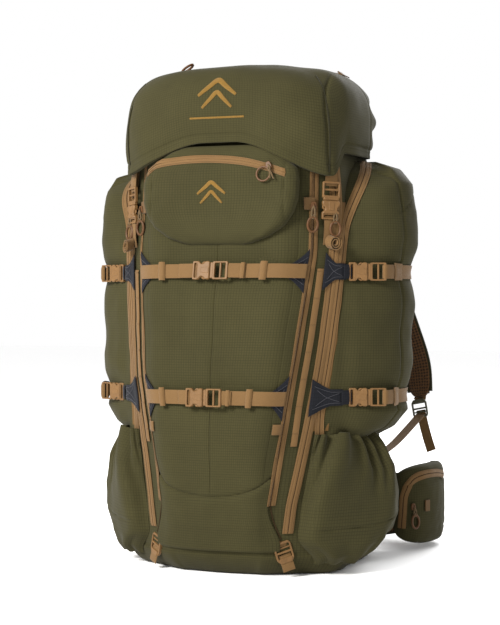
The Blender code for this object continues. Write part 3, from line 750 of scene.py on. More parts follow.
def make_side_pocket(label, side):
    spans = ((0.246, 0.29, 16), (0.295, 0.70, 84), (0.704, 0.742, 15))
    heights = np.concatenate([np.linspace(*span) for span in spans])
    columns = 91
    grid = np.array([side_pocket_section(z, columns) for z in heights])
    grid = mirror_grid(grid, side)
    y = grid[..., 1]
    z = grid[..., 2]
    x = np.abs(grid[..., 0])
    outward = normals_of(grid)
    belly = np.clip((x - SIDE_PLANE) / 0.02, 0.0, 1.0)
    swell = groove(y + 0.034 - 0.02 * (0.742 - z), 0.0022, 0.0030) * belly
    swell = swell + groove(y - 0.050, 0.0022, 0.0026) * belly
    top = z - 0.640 - 0.55 * (y + 0.05)
    swell = swell + groove(top, 0.0022, 0.0028) * smooth_step(-0.06, -0.03, y) * belly
    bottom = z - 0.318 + 0.55 * (y + 0.06)
    swell = swell + groove(bottom, 0.0020, 0.0024) * smooth_step(0.31, 0.29, z) * belly
    for level in STRAP_HEIGHTS:
        away = np.abs(z - level)
        dent, bulge = np.exp(-(away / 0.022) ** 2), np.exp(-((away - 0.06) / 0.035) ** 2)
        swell = swell - (0.0065 * dent - 0.0050 * bulge) * belly
    calm = 1.0 - np.exp(-((z - 0.540) / 0.03) ** 2) - np.exp(-((z - 0.317) / 0.03) ** 2)
    drift = 0.0060 * rough(grid * (1.0, 1.0, 0.5), 8.0, 3.0 + side) + 0.0018 * rough(grid, 28.0, 9.0)
    swell = swell + drift * calm * belly
    near_straps = np.exp(-((z - 0.575) / 0.03) ** 2) + np.exp(-((z - 0.35) / 0.03) ** 2)
    crease = np.sin(z * 150.0 + y * 40.0) * near_straps
    swell = swell + 0.0007 * crease * belly
    grid = grid + outward * swell[..., None]
    pocket = close_shell("side_pocket_cloth_" + label, grid, INNER_PLANE * side, OLIVE)
    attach(pocket, "pack")
    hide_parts("side_pocket_" + label)
    make_pocket_zipper(label, side, Ground([bag, panel, pocket]))
    return pocket


POCKET_ZIP = ((0.248, -0.10), (0.300, -0.22), (0.430, -0.24), (0.540, -0.20), (0.600, -0.08), (0.640, 0.015),
              (0.680, 0.055), (0.715, 0.085), (0.740, 0.110))


def pocket_zip_point(z):
    """Middle of the pocket's zipper: on the bag low down, climbing over the pocket's front above."""
    value = float(np.interp(z, [p[0] for p in POCKET_ZIP], [p[1] for p in POCKET_ZIP]))
    start = at_height(POCKET_EDGE)(z)
    if value <= 0.0:
        return body_point(start + value, z)
    section = side_pocket_section(z, 101)
    k = value * 100.0
    i = int(k)
    return section[i] * (1 - k + i) + section[i + 1] * (k - i)


def make_pocket_zipper(label, side, ground):
    rows = 120
    z = np.linspace(0.248, 0.740, rows)
    middle = np.array([pocket_zip_point(h) for h in z])
    relax(middle, 40)
    tangent = unit_rows(np.gradient(middle, axis=0))
    aim = unit((0.56, -0.83, 0.0))
    across = unit_rows(-np.cross(tangent, aim))
    parts = []
    for width, thick, lift, material, shift in zip_layers(0.0170):
        offsets = np.linspace(-0.5, 0.5, 7)[None, :, None] * width + shift
        grid = middle[:, None] + across[:, None] * offsets
        grid = mirror_grid(grid, side)
        laid = ground.lay(grid, facing(grid, mirror(aim, side)), 0.0, 0.06)
        laid = fix_side(relax(laid, 6), mirror(aim, side))
        parts.append(slab("pocket_zip_layer", laid, thick, material, lift + 0.0012))
    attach(join("pocket_zipper_" + label, parts), "pack")


def zip_layers(width):
    """Width, thickness, lift, material and sideways shift of each strip of a zipper."""
    # The second strip is the painted shadow line between the tapes.
    return ((width, 0.0012, 0.0, COYOTE, 0.0), (0.0014, 0.0006, 0.0010, SHADOW_LINE, 0.0),
            (0.0044, 0.0010, 0.0009, COYOTE, 0.0030), (0.0044, 0.0010, 0.0009, COYOTE, -0.0030),
            (0.0007, 0.0005, 0.0010, COIL, width * 0.36), (0.0007, 0.0005, 0.0010, COIL, -width * 0.36))


def close_shell(name, grid, inner_x, material):
    """Closes a bulging shell with a copy of itself pressed flat against the bag."""
    inner = grid.copy()
    x = grid[..., 0]
    inner[..., 0] = np.where(np.abs(x) > abs(inner_x), inner_x, x * 0.985)
    return two_sided(name, grid, inner, cloth_uv(grid), material, 60.0)


# ----------------------------------------------------------------------- wing pockets
WING_BULGE = ((-0.085, 0.046), (-0.045, 0.070), (0.005, 0.068), (0.055, 0.042))
WING_Z = (0.022, 0.034, 0.055, 0.090, 0.140, 0.190, 0.225, 0.252)
WING_SHARE = (0.26, 0.55, 0.82, 1.0, 1.02, 0.86, 0.56, 0.26)


def wing_section(z, columns):
    share = float(np.interp(z, WING_Z, WING_SHARE))
    edge = at_height(SIDE_ZIP)(z) + 0.27 + 0.45 * float(smooth_step(0.07, 0.022, z))
    start = body_point(edge, z) + outward_at(edge, z) * 0.0025
    ahead = body_point(edge + 0.42, z)
    end = body_point(7.0, z)
    push = np.array([0.62, -0.78]) * 0.030 * share
    points = [start[:2], ahead[:2] + push]
    for y, bulge in WING_BULGE:
        points.append((SIDE_PLANE + bulge * share, y))
    points.append(end[:2])
    curve = catmull(points, columns)
    return np.concatenate([curve, np.full((columns, 1), z)], axis=1)


def make_wing_pocket(label, side):
    heights = np.concatenate([np.linspace(0.022, 0.06, 16), np.linspace(0.064, 0.252, 60)])
    columns = 150
    grid = np.array([wing_section(z, columns) for z in heights])
    share = np.linspace(0.0, 1.0, columns)[None, :]
    z = grid[..., 2]
    lift_back = 0.052 * smooth_step(0.30, 0.85, share) * smooth_step(0.14, 0.022, z)
    lift_back = lift_back - 0.030 * smooth_step(0.45, 1.0, share) * smooth_step(0.16, 0.252, z)
    if side < 0:
        grid = grid[:, ::-1] * (-1.0, 1.0, 1.0)
        share = share[:, ::-1]
        lift_back = lift_back[:, ::-1]
    outward = normals_of(grid)
    edge = np.sin(np.pi * share)
    height = smooth_step(0.110, 0.250, z)
    fan = share + 0.35 * (0.25 - z) * (0.75 - share) * 4.0
    fold = np.sin(fan * 58.0 + 1.6 * np.sin(fan * 13.0))
    gather = rounded(fold, 0.7) * height ** 1.3
    lean = np.sin(fan * 27.0 + 0.8 * np.sin(fan * 9.0)) * smooth_step(0.05, 0.20, z)
    pinch = np.sin(share * 44.0) * smooth_step(0.085, 0.030, z)
    swell = 0.0078 * gather + 0.0060 * lean + 0.0034 * pinch
    swell = swell + 0.0050 * rough(grid, 11.0, 5.0 - side) + 0.0012 * rough(grid, 34.0, 1.0)
    seam = z - 0.078 - 0.030 * share
    swell = swell * edge ** 0.35 + groove(seam, 0.0020, 0.0022) * smooth_step(0.1, 0.2, share)
    grid = grid + outward * swell[..., None]
    grid[..., 2] += lift_back
    pocket = close_shell("wing_pocket_cloth_" + label, grid, INNER_PLANE * side, OLIVE)
    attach(pocket, "pack")
    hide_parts("wing_pocket_" + label)


# ------------------------------------------------------------------------------- lid
LID_Y = -0.015
LID_LEVELS = (0.0, 0.18, 0.40, 0.60, 0.76, 0.86, 0.93, 1.0)
LID_WIDTH = (0.214, 0.220, 0.222, 0.213, 0.189, 0.150, 0.094, 0.004)
LID_DEPTH = (0.158, 0.163, 0.165, 0.158, 0.139, 0.106, 0.062, 0.003)
LID_HEIGHT = (0.0, 0.20, 0.46, 0.70, 0.86, 0.938, 0.980, 1.0)


def lid_hem(x, y):
    drop = np.where(x > 0.0, 0.064, 0.050)
    front = 0.771 - drop * smooth_step(0.03, 0.215, np.abs(x))
    share = smooth_step(0.085, 0.125, -y)
    return 0.752 + (front - 0.752) * share


def smooth_table(level, table):
    points = np.stack([LID_LEVELS, table], axis=1)
    curve = catmull(points, 400)
    return np.interp(level, curve[:, 0], curve[:, 1])


def lid_surface(angle, level):
    """Point on the lid: angle 0 is +X, -90 degrees the front; level runs hem to crown."""
    angle, level = np.broadcast_arrays(angle, level)
    width = smooth_table(level, LID_WIDTH)
    depth = smooth_table(level, LID_DEPTH)
    c, s = np.cos(angle), np.sin(angle)
    back = smooth_step(-0.3, 0.5, s)
    power = 2.0 / (3.6 - 1.2 * smooth_step(0.6, 1.0, level) - 0.9 * back)
    x = rounded(c, power) * width
    y = rounded(s, power) * depth + LID_Y
    hem = lid_hem(x, y)
    rise = smooth_table(level, LID_HEIGHT)
    z = hem + (LID_TOP - hem) * rise
    return np.stack([x, y, z], axis=-1)


def make_lid():
    levels = np.linspace(0.0, 1.0, 100)[:, None]
    angle = np.linspace(-np.pi, np.pi, 300, endpoint=False)[None, :]
    grid = lid_surface(angle, levels)
    x, y, z = grid[..., 0], grid[..., 1], grid[..., 2]
    outward = normals_of(grid, closed=True)
    front = smooth_step(-0.06, -0.12, y)
    swell = groove(np.abs(x) - 0.196 + 0.10 * np.clip(z - 0.80, 0, 1), 0.0024, 0.0034) * front
    swell = swell + groove(y - 0.018, 0.0020, 0.0026) * smooth_step(0.18, 0.21, np.abs(x))
    swell = swell + groove(levels - 0.085, 0.012, 0.0016) + 0.0020 * smooth_step(0.06, 0.0, levels)
    gather = np.sin(z * 130.0 + y * 25.0) * smooth_step(0.02, 0.07, y) * smooth_step(0.16, 0.21, np.abs(x))
    swell = swell + 0.0044 * gather * smooth_step(0.90, 0.84, z)
    drape = np.sin(angle * 9.0 + z * 18.0) * smooth_step(0.82, 0.76, z) * 0.0026
    swell = swell + drape + 0.0065 * rough(grid, 6.5, 6.0) + 0.0022 * rough(grid, 20.0, 8.0)
    swell = np.where(z > 0.905, np.minimum(swell, 0.003), swell)
    grid = grid + outward * swell[..., None]
    shrink = np.array([0.965, 0.955, 1.0])
    centre = np.array([0.0, LID_Y, 0.0])
    inner = (grid - centre) * shrink + centre
    inner[..., 2] = np.minimum(inner[..., 2], 0.905)
    lid = tube_grid("lid_cloth", np.concatenate([inner[:78][::-1], grid]), OLIVE, sharp=70.0)
    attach(lid, "lid")
    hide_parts("lid")
    lid_piping(Ground([lid]))
    return lid


def lid_piping(ground):
    """Corded seam down each front corner."""
    for label, side in SIDES:
        points = []
        for level in np.linspace(0.03, 0.74, 40):
            angle = -math.pi / 2 + side * math.radians(57.0 - 7.0 * level)
            points.append(lid_surface(np.array(angle), np.array(level)))
        line = np.array([points])
        laid = ground.lay(line, facing(line, unit((side * 0.45, -0.85, 0.25))), 0.0004, 0.06)[0]
        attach(sweep("lid_piping_" + label, smooth_line(laid), 0.0015, OLIVE_PLAIN), "lid")


# ---------------------------------------------------------------------- front pocket
def pocket_zip_height(x):
    """The pocket's zipper arches over its face and drops at both ends."""
    known = ((-0.150, 0.712), (-0.138, 0.721), (-0.118, 0.7345), (-0.070, 0.7405), (-0.010, 0.7410),
             (0.050, 0.7350), (0.100, 0.7225), (0.135, 0.7100), (0.150, 0.704))
    curve = catmull(known, 200)
    return np.interp(x, curve[:, 0], curve[:, 1])


def pocket_half(z):
    """Half width of the front pocket at one height."""
    heights = (0.588, 0.592, 0.603, 0.622, 0.645, 0.668, 0.700, 0.722, 0.740, 0.755, 0.765)
    widths = (0.040, 0.066, 0.098, 0.126, 0.142, 0.149, 0.150, 0.146, 0.124, 0.098, 0.066)
    return float(np.interp(z, heights, widths))


def make_front_pocket():
    heights = np.concatenate([np.linspace(0.588, 0.625, 22), np.linspace(0.628, 0.765, 60)])
    columns = 121
    share = np.linspace(-1.0, 1.0, columns)
    grid = np.zeros((len(heights), columns, 3))
    for i, z in enumerate(heights):
        half = pocket_half(z)
        x = share * half
        face = np.interp(z, PANEL_Z, PANEL_Y)
        grid[i, :, 0] = x
        grid[i, :, 1] = face - 0.002
        grid[i, :, 2] = z
    x, z = grid[..., 0], grid[..., 2]
    rim = np.minimum(1.0 - np.abs(share)[None, :] + 0.0 * z, 0.16) / 0.16
    low = np.clip((z - 0.588) / 0.030, 0.0, 1.0)
    high = np.clip((0.772 - z) / 0.020, 0.0, 1.0)
    dome = np.sqrt(np.clip(1.0 - (1.0 - rim) ** 2, 0.0, 1.0))
    dome = dome * np.sqrt(1.0 - (1.0 - low) ** 2) * np.sqrt(1.0 - (1.0 - high) ** 2)
    depth = 0.0185 * dome + groove(z - pocket_zip_height(x), 0.006, 0.0020)
    depth = depth + groove(np.abs(x) - 0.128, 0.0020, 0.0020) * smooth_step(0.60, 0.64, z)
    depth = depth + 0.0040 * rough(grid, 12.0, 3.3) * dome + 0.0013 * rough(grid, 36.0, 2.0) * dome
    fold = np.sin((z + np.abs(x) * 0.6) * 170.0) * smooth_step(0.09, 0.14, np.abs(x)) * 0.0011
    depth = depth + fold * dome
    grid[..., 1] -= np.maximum(depth, 0.0)
    pocket = slab("front_pocket_cloth", grid, 0.0018, OLIVE, 0.0, 0.0014)
    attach(pocket, "pack")
    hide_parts("front_pocket")
    parts = []
    for width, thick, lift, material, shift in zip_layers(0.0150):
        lift = lift + 0.0019
        xs = np.linspace(-0.139, 0.128, 90)
        ribbon = np.zeros((5 if width > 0.01 else 3, 90, 3))
        for r, across in enumerate(np.linspace(-0.5, 0.5, ribbon.shape[0])):
            zs = pocket_zip_height(xs) + across * width + shift
            for c in range(90):
                ribbon[r, c] = (xs[c], pocket_front(grid, xs[c], zs[c]), zs[c])
        parts.append(slab("front_pocket_zip", ribbon, thick, material, lift))
    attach(join("front_pocket_zipper", parts), "pack")
    return pocket


def pocket_front(grid, x, z):
    """Y of the front pocket's cloth at a place on it."""
    row = int(np.clip(np.searchsorted(grid[:, 0, 2], z), 1, len(grid) - 1))
    below, above = grid[row - 1], grid[row]
    share = (z - below[0, 2]) / (above[0, 2] - below[0, 2])
    a = np.interp(x, below[:, 0], below[:, 1])
    b = np.interp(x, above[:, 0], above[:, 1])
    return a + (b - a) * share


# -------------------------------------------------------------- laying pieces on cloth
class Ground:
    """Finished cloth pieces that tapes, straps and stitching are laid on."""

    def __init__(self, objects):
        points, faces = [], []
        for obj in objects:
            start = len(points)
            points += [v.co.copy() for v in obj.data.vertices]
            faces += [[start + i for i in p.vertices] for p in obj.data.polygons]
        self.tree = BVHTree.FromPolygons(points, faces)

    def lay(self, grid, direction, lift, reach=0.05):
        """Moves each point of a grid onto the cloth, looking from outside along -direction."""
        rows, cols = grid.shape[:2]
        out = grid.copy()
        for r in range(rows):
            for c in range(cols):
                away = Vector(direction[r, c])
                start = Vector(grid[r, c]) + away * reach
                hit = self.tree.ray_cast(start, -away, 2.0 * reach)[0]
                if hit is not None:
                    out[r, c] = hit + away * lift
        return out


    def spot(self, place, away, lift, reach=0.12):
        """One point laid on the cloth."""
        return self.lay(np.array([[place]], float), np.array([[away]], float), lift, reach)[0, 0]


def facing(grid, direction):
    """The same direction at every point of a grid."""
    return np.broadcast_to(direction, grid.shape).copy()


def wide_path(points, across, width, samples, columns=5):
    """Grid of a flat strip: rows follow the points, columns run along across."""
    path = catmull(points, samples)
    tangent = unit_rows(np.gradient(path, axis=0))
    side = np.broadcast_to(np.asarray(across, float), path.shape)
    if side.shape[0] != samples:
        side = catmull(across, samples)
    side = unit_rows(side - tangent * np.sum(side * tangent, axis=1, keepdims=True))
    offsets = np.linspace(-0.5, 0.5, columns)[None, :, None] * width
    return path[:, None] + side[:, None] * offsets


def strip(name, points, across, width, thick, material, body=None, samples=48, lift=0.0):
    grid = wide_path(points, across, width, samples)
    obj = slab(name, grid, thick, material, lift, round_edge=thick * 0.4)
    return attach(obj, body) if body else obj


def mirror_grid(grid, side):
    if side > 0:
        return grid
    return grid[:, ::-1] * (-1.0, 1.0, 1.0)


def mirror(point, side):
    return np.array([point[0] * side, point[1], point[2]])


# ------------------------------------------------------------------ moulded hardware
def unit(vector):
    v = np.asarray(vector, float)
    return v / np.linalg.norm(v)


def offset_outline(outline, distance):
    """Moves a counter-clockwise outline inwards by distance, corner by corner."""
    p = np.asarray(outline, float)
    before = unit_rows(p - np.roll(p, 1, 0))
    after = unit_rows(np.roll(p, -1, 0) - p)
    n0 = np.stack([-before[:, 1], before[:, 0]], axis=1)
    n1 = np.stack([-after[:, 1], after[:, 0]], axis=1)
    middle = n0 + n1
    middle /= np.maximum(np.sum(middle * n0, axis=1, keepdims=True), 0.3)
    return p + middle * distance


def round_outline(outline, radius=0.002, steps=3):
    """Rounds the corners of an outline."""
    p = np.asarray(outline, float)
    out = []
    for i in range(len(p)):
        a, b, c = p[i - 1], p[i], p[(i + 1) % len(p)]
        r = min(radius, 0.45 * np.linalg.norm(a - b), 0.45 * np.linalg.norm(c - b))
        start = b + (a - b) / np.linalg.norm(a - b) * r
        end = b + (c - b) / np.linalg.norm(c - b) * r
        for t in np.linspace(0.0, 1.0, steps + 1):
            out.append((1 - t) ** 2 * start + 2 * t * (1 - t) * b + t ** 2 * end)
    return np.array(out)


def area_of(outline):
    p = np.asarray(outline, float)
    q = np.roll(p, -1, 0)
    return 0.5 * float(np.sum(p[:, 0] * q[:, 1] - q[:, 0] * p[:, 1]))


class Moulding:
    """Collects closed shapes drawn in a local frame: x along, y across, z out of the face."""

    def __init__(self, name, origin, along, face):
        self.name = name
        self.origin = np.asarray(origin, float)
        z = unit(face)
        x = np.asarray(along, float)
        x = unit(x - z * np.dot(x, z))
        self.basis = np.array([x, np.cross(z, x), z])
        self.points = []
        self.faces = []

    def add(self, points, faces):
        start = len(self.points)
        self.points += list(self.origin + np.asarray(points, float) @ self.basis)
        self.faces += [tuple(start + i for i in f) for f in faces]

    def prism(self, outline, low, high, chamfer=0.0008, radius=0.002):
        shape = round_outline(outline, radius)
        if area_of(shape) < 0:
            shape = shape[::-1]
        inner = offset_outline(shape, chamfer)
        levels = ((inner, low), (shape, low + chamfer), (shape, high - chamfer), (inner, high))
        points = [(x, y, z) for ring, z in levels for x, y in ring]
        n = len(shape)
        faces = []
        for k in range(3):
            for i in range(n):
                j = (i + 1) % n
                faces.append((k * n + i, k * n + j, k * n + n + j, k * n + n + i))
        faces.append(tuple(range(n - 1, -1, -1)))
        faces.append(tuple(range(3 * n, 4 * n)))
        self.add(points, faces)

    def bar(self, low, high, chamfer=0.0008):
        (x0, y0, z0), (x1, y1, z1) = low, high
        self.prism([(x0, y0), (x1, y0), (x1, y1), (x0, y1)], z0, z1, chamfer, 0.0012)

    def ring(self, outline, hole, low, high, chamfer=0.0007, steps=48):
        """A flat frame with a window, both outlines resampled to the same count."""
        outer = resample(round_outline(outline), steps)
        inner = resample(round_outline(hole), steps)
        if area_of(outer) < 0:
            outer = outer[::-1]
        if area_of(inner) < 0:
            inner = inner[::-1]
        gaps = [np.sum((np.roll(inner, -k, 0) - outer) ** 2) for k in range(steps)]
        inner = np.roll(inner, -int(np.argmin(gaps)), 0)
        outer_in = offset_outline(outer, chamfer)
        inner_out = offset_outline(inner, -chamfer)
        rings = ((outer_in, high), (outer, high - chamfer), (outer, low + chamfer), (outer_in, low),
                 (inner_out, low), (inner, low + chamfer), (inner, high - chamfer), (inner_out, high))
        points = [(x, y, z) for ring, z in rings for x, y in ring]
        faces = []
        for k in range(8):
            m = (k + 1) % 8
            for i in range(steps):
                j = (i + 1) % steps
                faces.append((k * steps + j, k * steps + i, m * steps + i, m * steps + j))
        self.add(points, faces)

    def tube(self, path, radius, sides=10):
        """Round rod through local points."""
        p = np.asarray(path, float)
        t = unit_rows(np.gradient(p, axis=0))
        side = np.cross(t[0], UP)
        if np.linalg.norm(side) < 1e-3:
            side = np.cross(t[0], (1.0, 0.0, 0.0))
        angle = np.linspace(0.0, 2 * np.pi, sides, endpoint=False)[:, None]
        points, faces = [], []
        radii = np.broadcast_to(np.asarray(radius, float), (len(p),))
        for q, d, r in zip(p, t, radii):
            side = unit(side - d * np.dot(side, d))
            up = np.cross(d, side)
            points += list(q + r * (np.cos(angle) * side + np.sin(angle) * up))
        for k in range(len(p) - 1):
            for i in range(sides):
                j = (i + 1) % sides
                faces.append((k * sides + i, k * sides + j, (k + 1) * sides + j, (k + 1) * sides + i))
        faces.append(tuple(range(sides - 1, -1, -1)))
        faces.append(tuple(range((len(p) - 1) * sides, len(p) * sides)))
        self.add(points, faces)

    def finish(self, material, body, node=None):
        obj = new_object(self.name, self.points, self.faces, material, sharp=32.0)
        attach(obj, body)
        if node:
            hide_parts(node)
        return obj


def resample(outline, count):
    p = np.concatenate([outline, outline[:1]])
    run = np.concatenate([[0.0], np.cumsum(np.linalg.norm(np.diff(p, axis=0), axis=1))])
    t = np.linspace(0.0, run[-1], count, endpoint=False)
    return np.stack([np.interp(t, run, p[:, 0]), np.interp(t, run, p[:, 1])], axis=1)


def rectangle(x0, x1, half):
    return [(x0, -half), (x1, -half), (x1, half), (x0, half)]


HALF = 0.0165
SLOT = 0.0134


def make_female(name, meet, direction, face, body, node):
    """Socket half of a side-release buckle; its webbing bar is at the far end."""
    m = Moulding(name, meet, direction, face)
    waist = [(0.0003, -0.0150), (0.0040, -HALF), (0.0085, -0.0160), (0.0125, -0.0118), (0.0170, -0.0112),
             (0.0205, -0.0155), (0.0245, -HALF)]
    outline = waist + [(x, -y) for x, y in reversed(waist)]
    m.prism(outline, 0.0003, 0.0088, 0.0013, 0.0018)
    m.prism([(0.002, -0.0060), (0.018, -0.0045), (0.018, 0.0045), (0.002, 0.0060)], 0.0080, 0.0094, 0.0007)
    m.ring(rectangle(0.0205, 0.0337, HALF), rectangle(0.0258, 0.0305, SLOT), 0.0003, 0.0070)
    m.bar((0.0268, -0.0150, 0.0012), (0.0290, 0.0150, 0.0040))
    return m.finish(PLASTIC, body, node)


def make_male(name, meet, direction, face, body, node):
    """Plug half: two springy prongs and a guide that enter the socket, and an adjuster."""
    m = Moulding(name, meet, direction, face)
    m.bar((0.0003, -0.0142, 0.0005), (0.0060, 0.0142, 0.0068))
    m.ring(rectangle(0.0045, 0.0337, HALF - 0.0004), rectangle(0.0088, 0.0300, SLOT), 0.0003, 0.0064)
    m.bar((0.0175, -0.0150, 0.0010), (0.0208, 0.0150, 0.0052))
    m.bar((-0.0150, -0.0016, 0.0022), (0.0010, 0.0016, 0.0056))
    for sign in (-1.0, 1.0):
        spring = [(0.0010, 0.0095, 0.0040), (-0.0050, 0.0108, 0.0040), (-0.0100, 0.0140, 0.0040),
                  (-0.0135, 0.0142, 0.0040), (-0.0165, 0.0105, 0.0040)]
        m.tube(catmull([(x, sign * y, z) for x, y, z in spring], 14), 0.0019, 8)
    return m.finish(PLASTIC, body, node)


def make_triglide(name, centre, along, face, body, node=None, half=0.0165, material=None):
    """Three-bar slide that webbing is threaded through."""
    m = Moulding(name, centre, along, face)
    m.ring(rectangle(-0.0125, 0.0125, half), rectangle(-0.0088, 0.0088, half - 0.0032), 0.0002, 0.0048)
    m.bar((-0.0016, -half + 0.001, 0.0010), (0.0016, half - 0.001, 0.0062))
    return m.finish(material or PLASTIC, body, node)


def make_ladder_lock(name, centre, along, face, body, node, material=None):
    """Ladder lock: flared lift tab at one end, two cross bars."""
    m = Moulding(name, centre, along, face)
    outline = [(-0.019, -0.0110), (-0.012, -0.0160), (0.014, -0.0160), (0.019, -0.0130),
               (0.019, 0.0130), (0.014, 0.0160), (-0.012, 0.0160), (-0.019, 0.0110)]
    m.ring(outline, rectangle(-0.0110, 0.0150, 0.0128), -0.0030, 0.0030)
    m.bar((-0.0015, -0.0145, -0.0022), (0.0020, 0.0145, 0.0030))
    m.bar((0.0065, -0.0145, -0.0022), (0.0092, 0.0145, 0.0014))
    m.prism([(-0.019, -0.0105), (-0.010, -0.0125), (-0.010, 0.0125), (-0.019, 0.0105)], 0.0005, 0.0042)
    return m.finish(material or PLASTIC, body, node)


def loop_path(x, y, z, along, across, count):
    """Ellipse round (x, y) at height z, as the path of a rod."""
    turn = np.linspace(0.0, 2 * np.pi, count)
    return np.stack([x + along * np.cos(turn), y + across * np.sin(turn), np.full(count, z)], axis=1)


SLIDER = [(-0.0080, -0.0036), (0.0, -0.0058), (0.0050, -0.0052), (0.0050, 0.0052), (0.0, 0.0058),
          (-0.0080, 0.0036)]


def make_cord_pull(name, origin, along, face, body, node, length=0.034):
    """Slider body, its wire bail, a cord loop with a knot and a rubber sleeve."""
    m = Moulding(name, origin, along, face)
    m.prism(SLIDER, -0.0012, 0.0024, 0.0008)
    bail = [(-0.0050, 0, 0.0022), (-0.0030, 0, 0.0052), (0.0020, 0, 0.0052), (0.0035, 0, 0.0022)]
    m.tube(catmull(bail, 10), 0.0010)
    metal = m.finish(PULL, body, node)
    c = Moulding(name + "_loop", origin, along, face)
    for sign in (-1.0, 1.0):
        cord = [(0.0, 0.0, 0.0050), (0.006, sign * 0.0022, 0.0052), (length * 0.36, sign * 0.0030, 0.0046),
                (length * 0.45, sign * 0.0016, 0.0046)]
        c.tube(catmull(cord, 12), 0.0016, 8)
    turn = np.linspace(0.0, 2 * np.pi, 22)
    knot = np.stack([length * 0.47 + 0.0026 * np.cos(turn) * 1.1, 0.0030 * np.sin(turn),
                     0.0048 + 0.0014 * np.cos(3 * turn)], axis=1)
    c.tube(knot, 0.0015, 8)
    c.finish(CORD, body)
    r = Moulding(name + "_ring", origin, along, face)
    r.tube(loop_path(length * 0.50 + 0.0125, 0.0, 0.0044, 0.0130, 0.0088, 22), 0.0023, 10)
    r.finish(PULL, body)
    return metal


# -------------------------------------------------------------------- straps on the bag
def strap_grid(level, s_values, lifts, width=INCH, columns=7):
    """Strap round the body at one height: rows follow s, columns run from top to bottom."""
    grid = np.zeros((len(s_values), columns, 3))
    for i, (s, lift) in enumerate(zip(s_values, lifts)):
        for j, share in enumerate(np.linspace(0.5, -0.5, columns)):
            z = level + share * width
            grid[i, j] = body_point(s, z) + outward_at(s, z) * lift
    return grid


def s_at(x, z):
    """The s value on the front where the body reaches x."""
    values = np.linspace(-5.0, 5.0, 401)
    xs = body_point(values, z)[:, 0]
    return float(np.interp(x, xs, values))


FRONT_MEET = -0.0075
KEEPER_X = {"upper": (0.098, 0.060), "lower": (0.083, 0.044)}
KEEPER_LIFT = np.array([0.0096, 0.0112, 0.0118, 0.0118, 0.0112, 0.0096])
TAIL_END = {"upper": 0.064, "lower": 0.050}


def make_front_straps():
    for level, z in LEVELS:
        normal = outward_at(0.0, z)
        meet = body_point(s_at(FRONT_MEET, z), z) + normal * 0.0098
        female = "front_buckle_%s_female" % level
        male = "front_buckle_%s_male" % level
        make_female(female + "_moulding", meet, (-1.0, 0.0, 0.0), normal, "pack", female)
        make_male(male + "_moulding", meet, (1.0, 0.0, 0.0), normal, male, male)
        for label, side in SIDES:
            start = s_at(FRONT_MEET + side * 0.0280, z)
            stop = side * 2.80
            s = np.linspace(start, stop, 60)
            ease = np.clip(np.abs(s - start) / 0.35, 0.0, 1.0)
            lift = 0.0105 - 0.0030 * smooth_step(0.0, 1.0, ease)
            grid = strap_grid(z, s, lift)
            if side < 0:
                grid = grid[::-1]
            strap = slab("front_webbing_%s_%s" % (level, label), grid, 0.0020, COYOTE, 0.0, 0.0008)
            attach(strap, "pack")
            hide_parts("front_strap_%s_%s" % (level, label))
            inner = np.linspace(start, s_at(FRONT_MEET + side * TAIL_END[level], z), 24)
            turn = strap_grid(z, inner, 0.0132 - 0.0006 * np.linspace(0, 1, 24) * 4, INCH)
            if side < 0:
                turn = turn[::-1]
            fold = slab("webbing_tail_%s_%s" % (level, label), turn, 0.0018, COYOTE, 0.0, 0.0008)
            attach(fold, male if side > 0 else "pack")
            keepers = [(KEEPER_X[level][0], 0.10, 0.0, 0.033, "pack")]
            if side > 0:
                keepers.append((KEEPER_X[level][1], 0.06, 0.0012, 0.028, male))
            for k, (x, reach, raised, width, body) in enumerate(keepers):
                s_keep = s_at(side * x + FRONT_MEET, z)
                place = np.linspace(s_keep - reach, s_keep + reach, 6)
                keeper = strap_grid(z, place, KEEPER_LIFT + raised, width)
                name = "keeper_%s_%s_%d" % (level, label, k)
                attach(slab(name, keeper, 0.0022, COYOTE, 0.0, 0.0009), body)


def patch_grid(z, s_from, s_to, half_of, ground, lift, columns=26, rows=13):
    """Patch whose half height changes along s, laid on the cloth."""
    s = np.linspace(s_from, s_to, columns)
    grid = np.zeros((rows, columns, 3))
    away = np.zeros_like(grid)
    for i, share in enumerate(np.linspace(-1.0, 1.0, rows)):
        for j in range(columns):
            level = z + share * half_of(j / (columns - 1.0))
            grid[i, j] = body_point(s[j], level)
            away[i, j] = outward_at(s[j], level)
    return ground.lay(grid, away, lift), away


def make_patches(ground):
    for level, z in LEVELS:
        for label, side in SIDES:
            def inner(t):
                return 0.0135 + 0.0260 * (t if side > 0 else 1.0 - t) ** 1.25

            def outer(t):
                return 0.0145 + 0.0190 * np.clip(1.0 - 1.7 * (t if side > 0 else 1.0 - t), 0.0, 1.0) ** 1.2

            zones = ((inner, 2.22, 2.84, "inner"), (outer, 3.72, 4.92, "outer"))
            for shape, a, b, kind in zones:
                low, high = (a, b) if side > 0 else (-b, -a)
                grid, away = patch_grid(z, low, high, shape, ground, 0.0022 if kind == "inner" else 0.0052)
                patch = slab("patch_%s_%s_%s" % (kind, level, label), grid, 0.0016, PATCH, 0.0, 0.0010)
                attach(patch, "pack")
                rows, cols = grid.shape[:2]
                top = grid + away * 0.0020
                lines = [top[2, 2:cols - 2], top[rows - 3, 2:cols - 2]]
                span = range(4, cols - 5)
                climb = [(rows - 7) * (k - 4) / (cols - 10.0) for k in span]
                lines.append([top[int(round(3 + c)), k] for k, c in zip(span, climb)])
                lines.append([top[int(round(rows - 4 - c)), k] for k, c in zip(span, climb)])
                seams = [sweep("patch_seam", smooth_line(line), 0.0005, STITCH, 5) for line in lines]
                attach(join("patch_stitch_%s_%s_%s" % (kind, level, label), seams), "pack")


def smooth_line(points):
    return relax(np.asarray(points, float), 4)


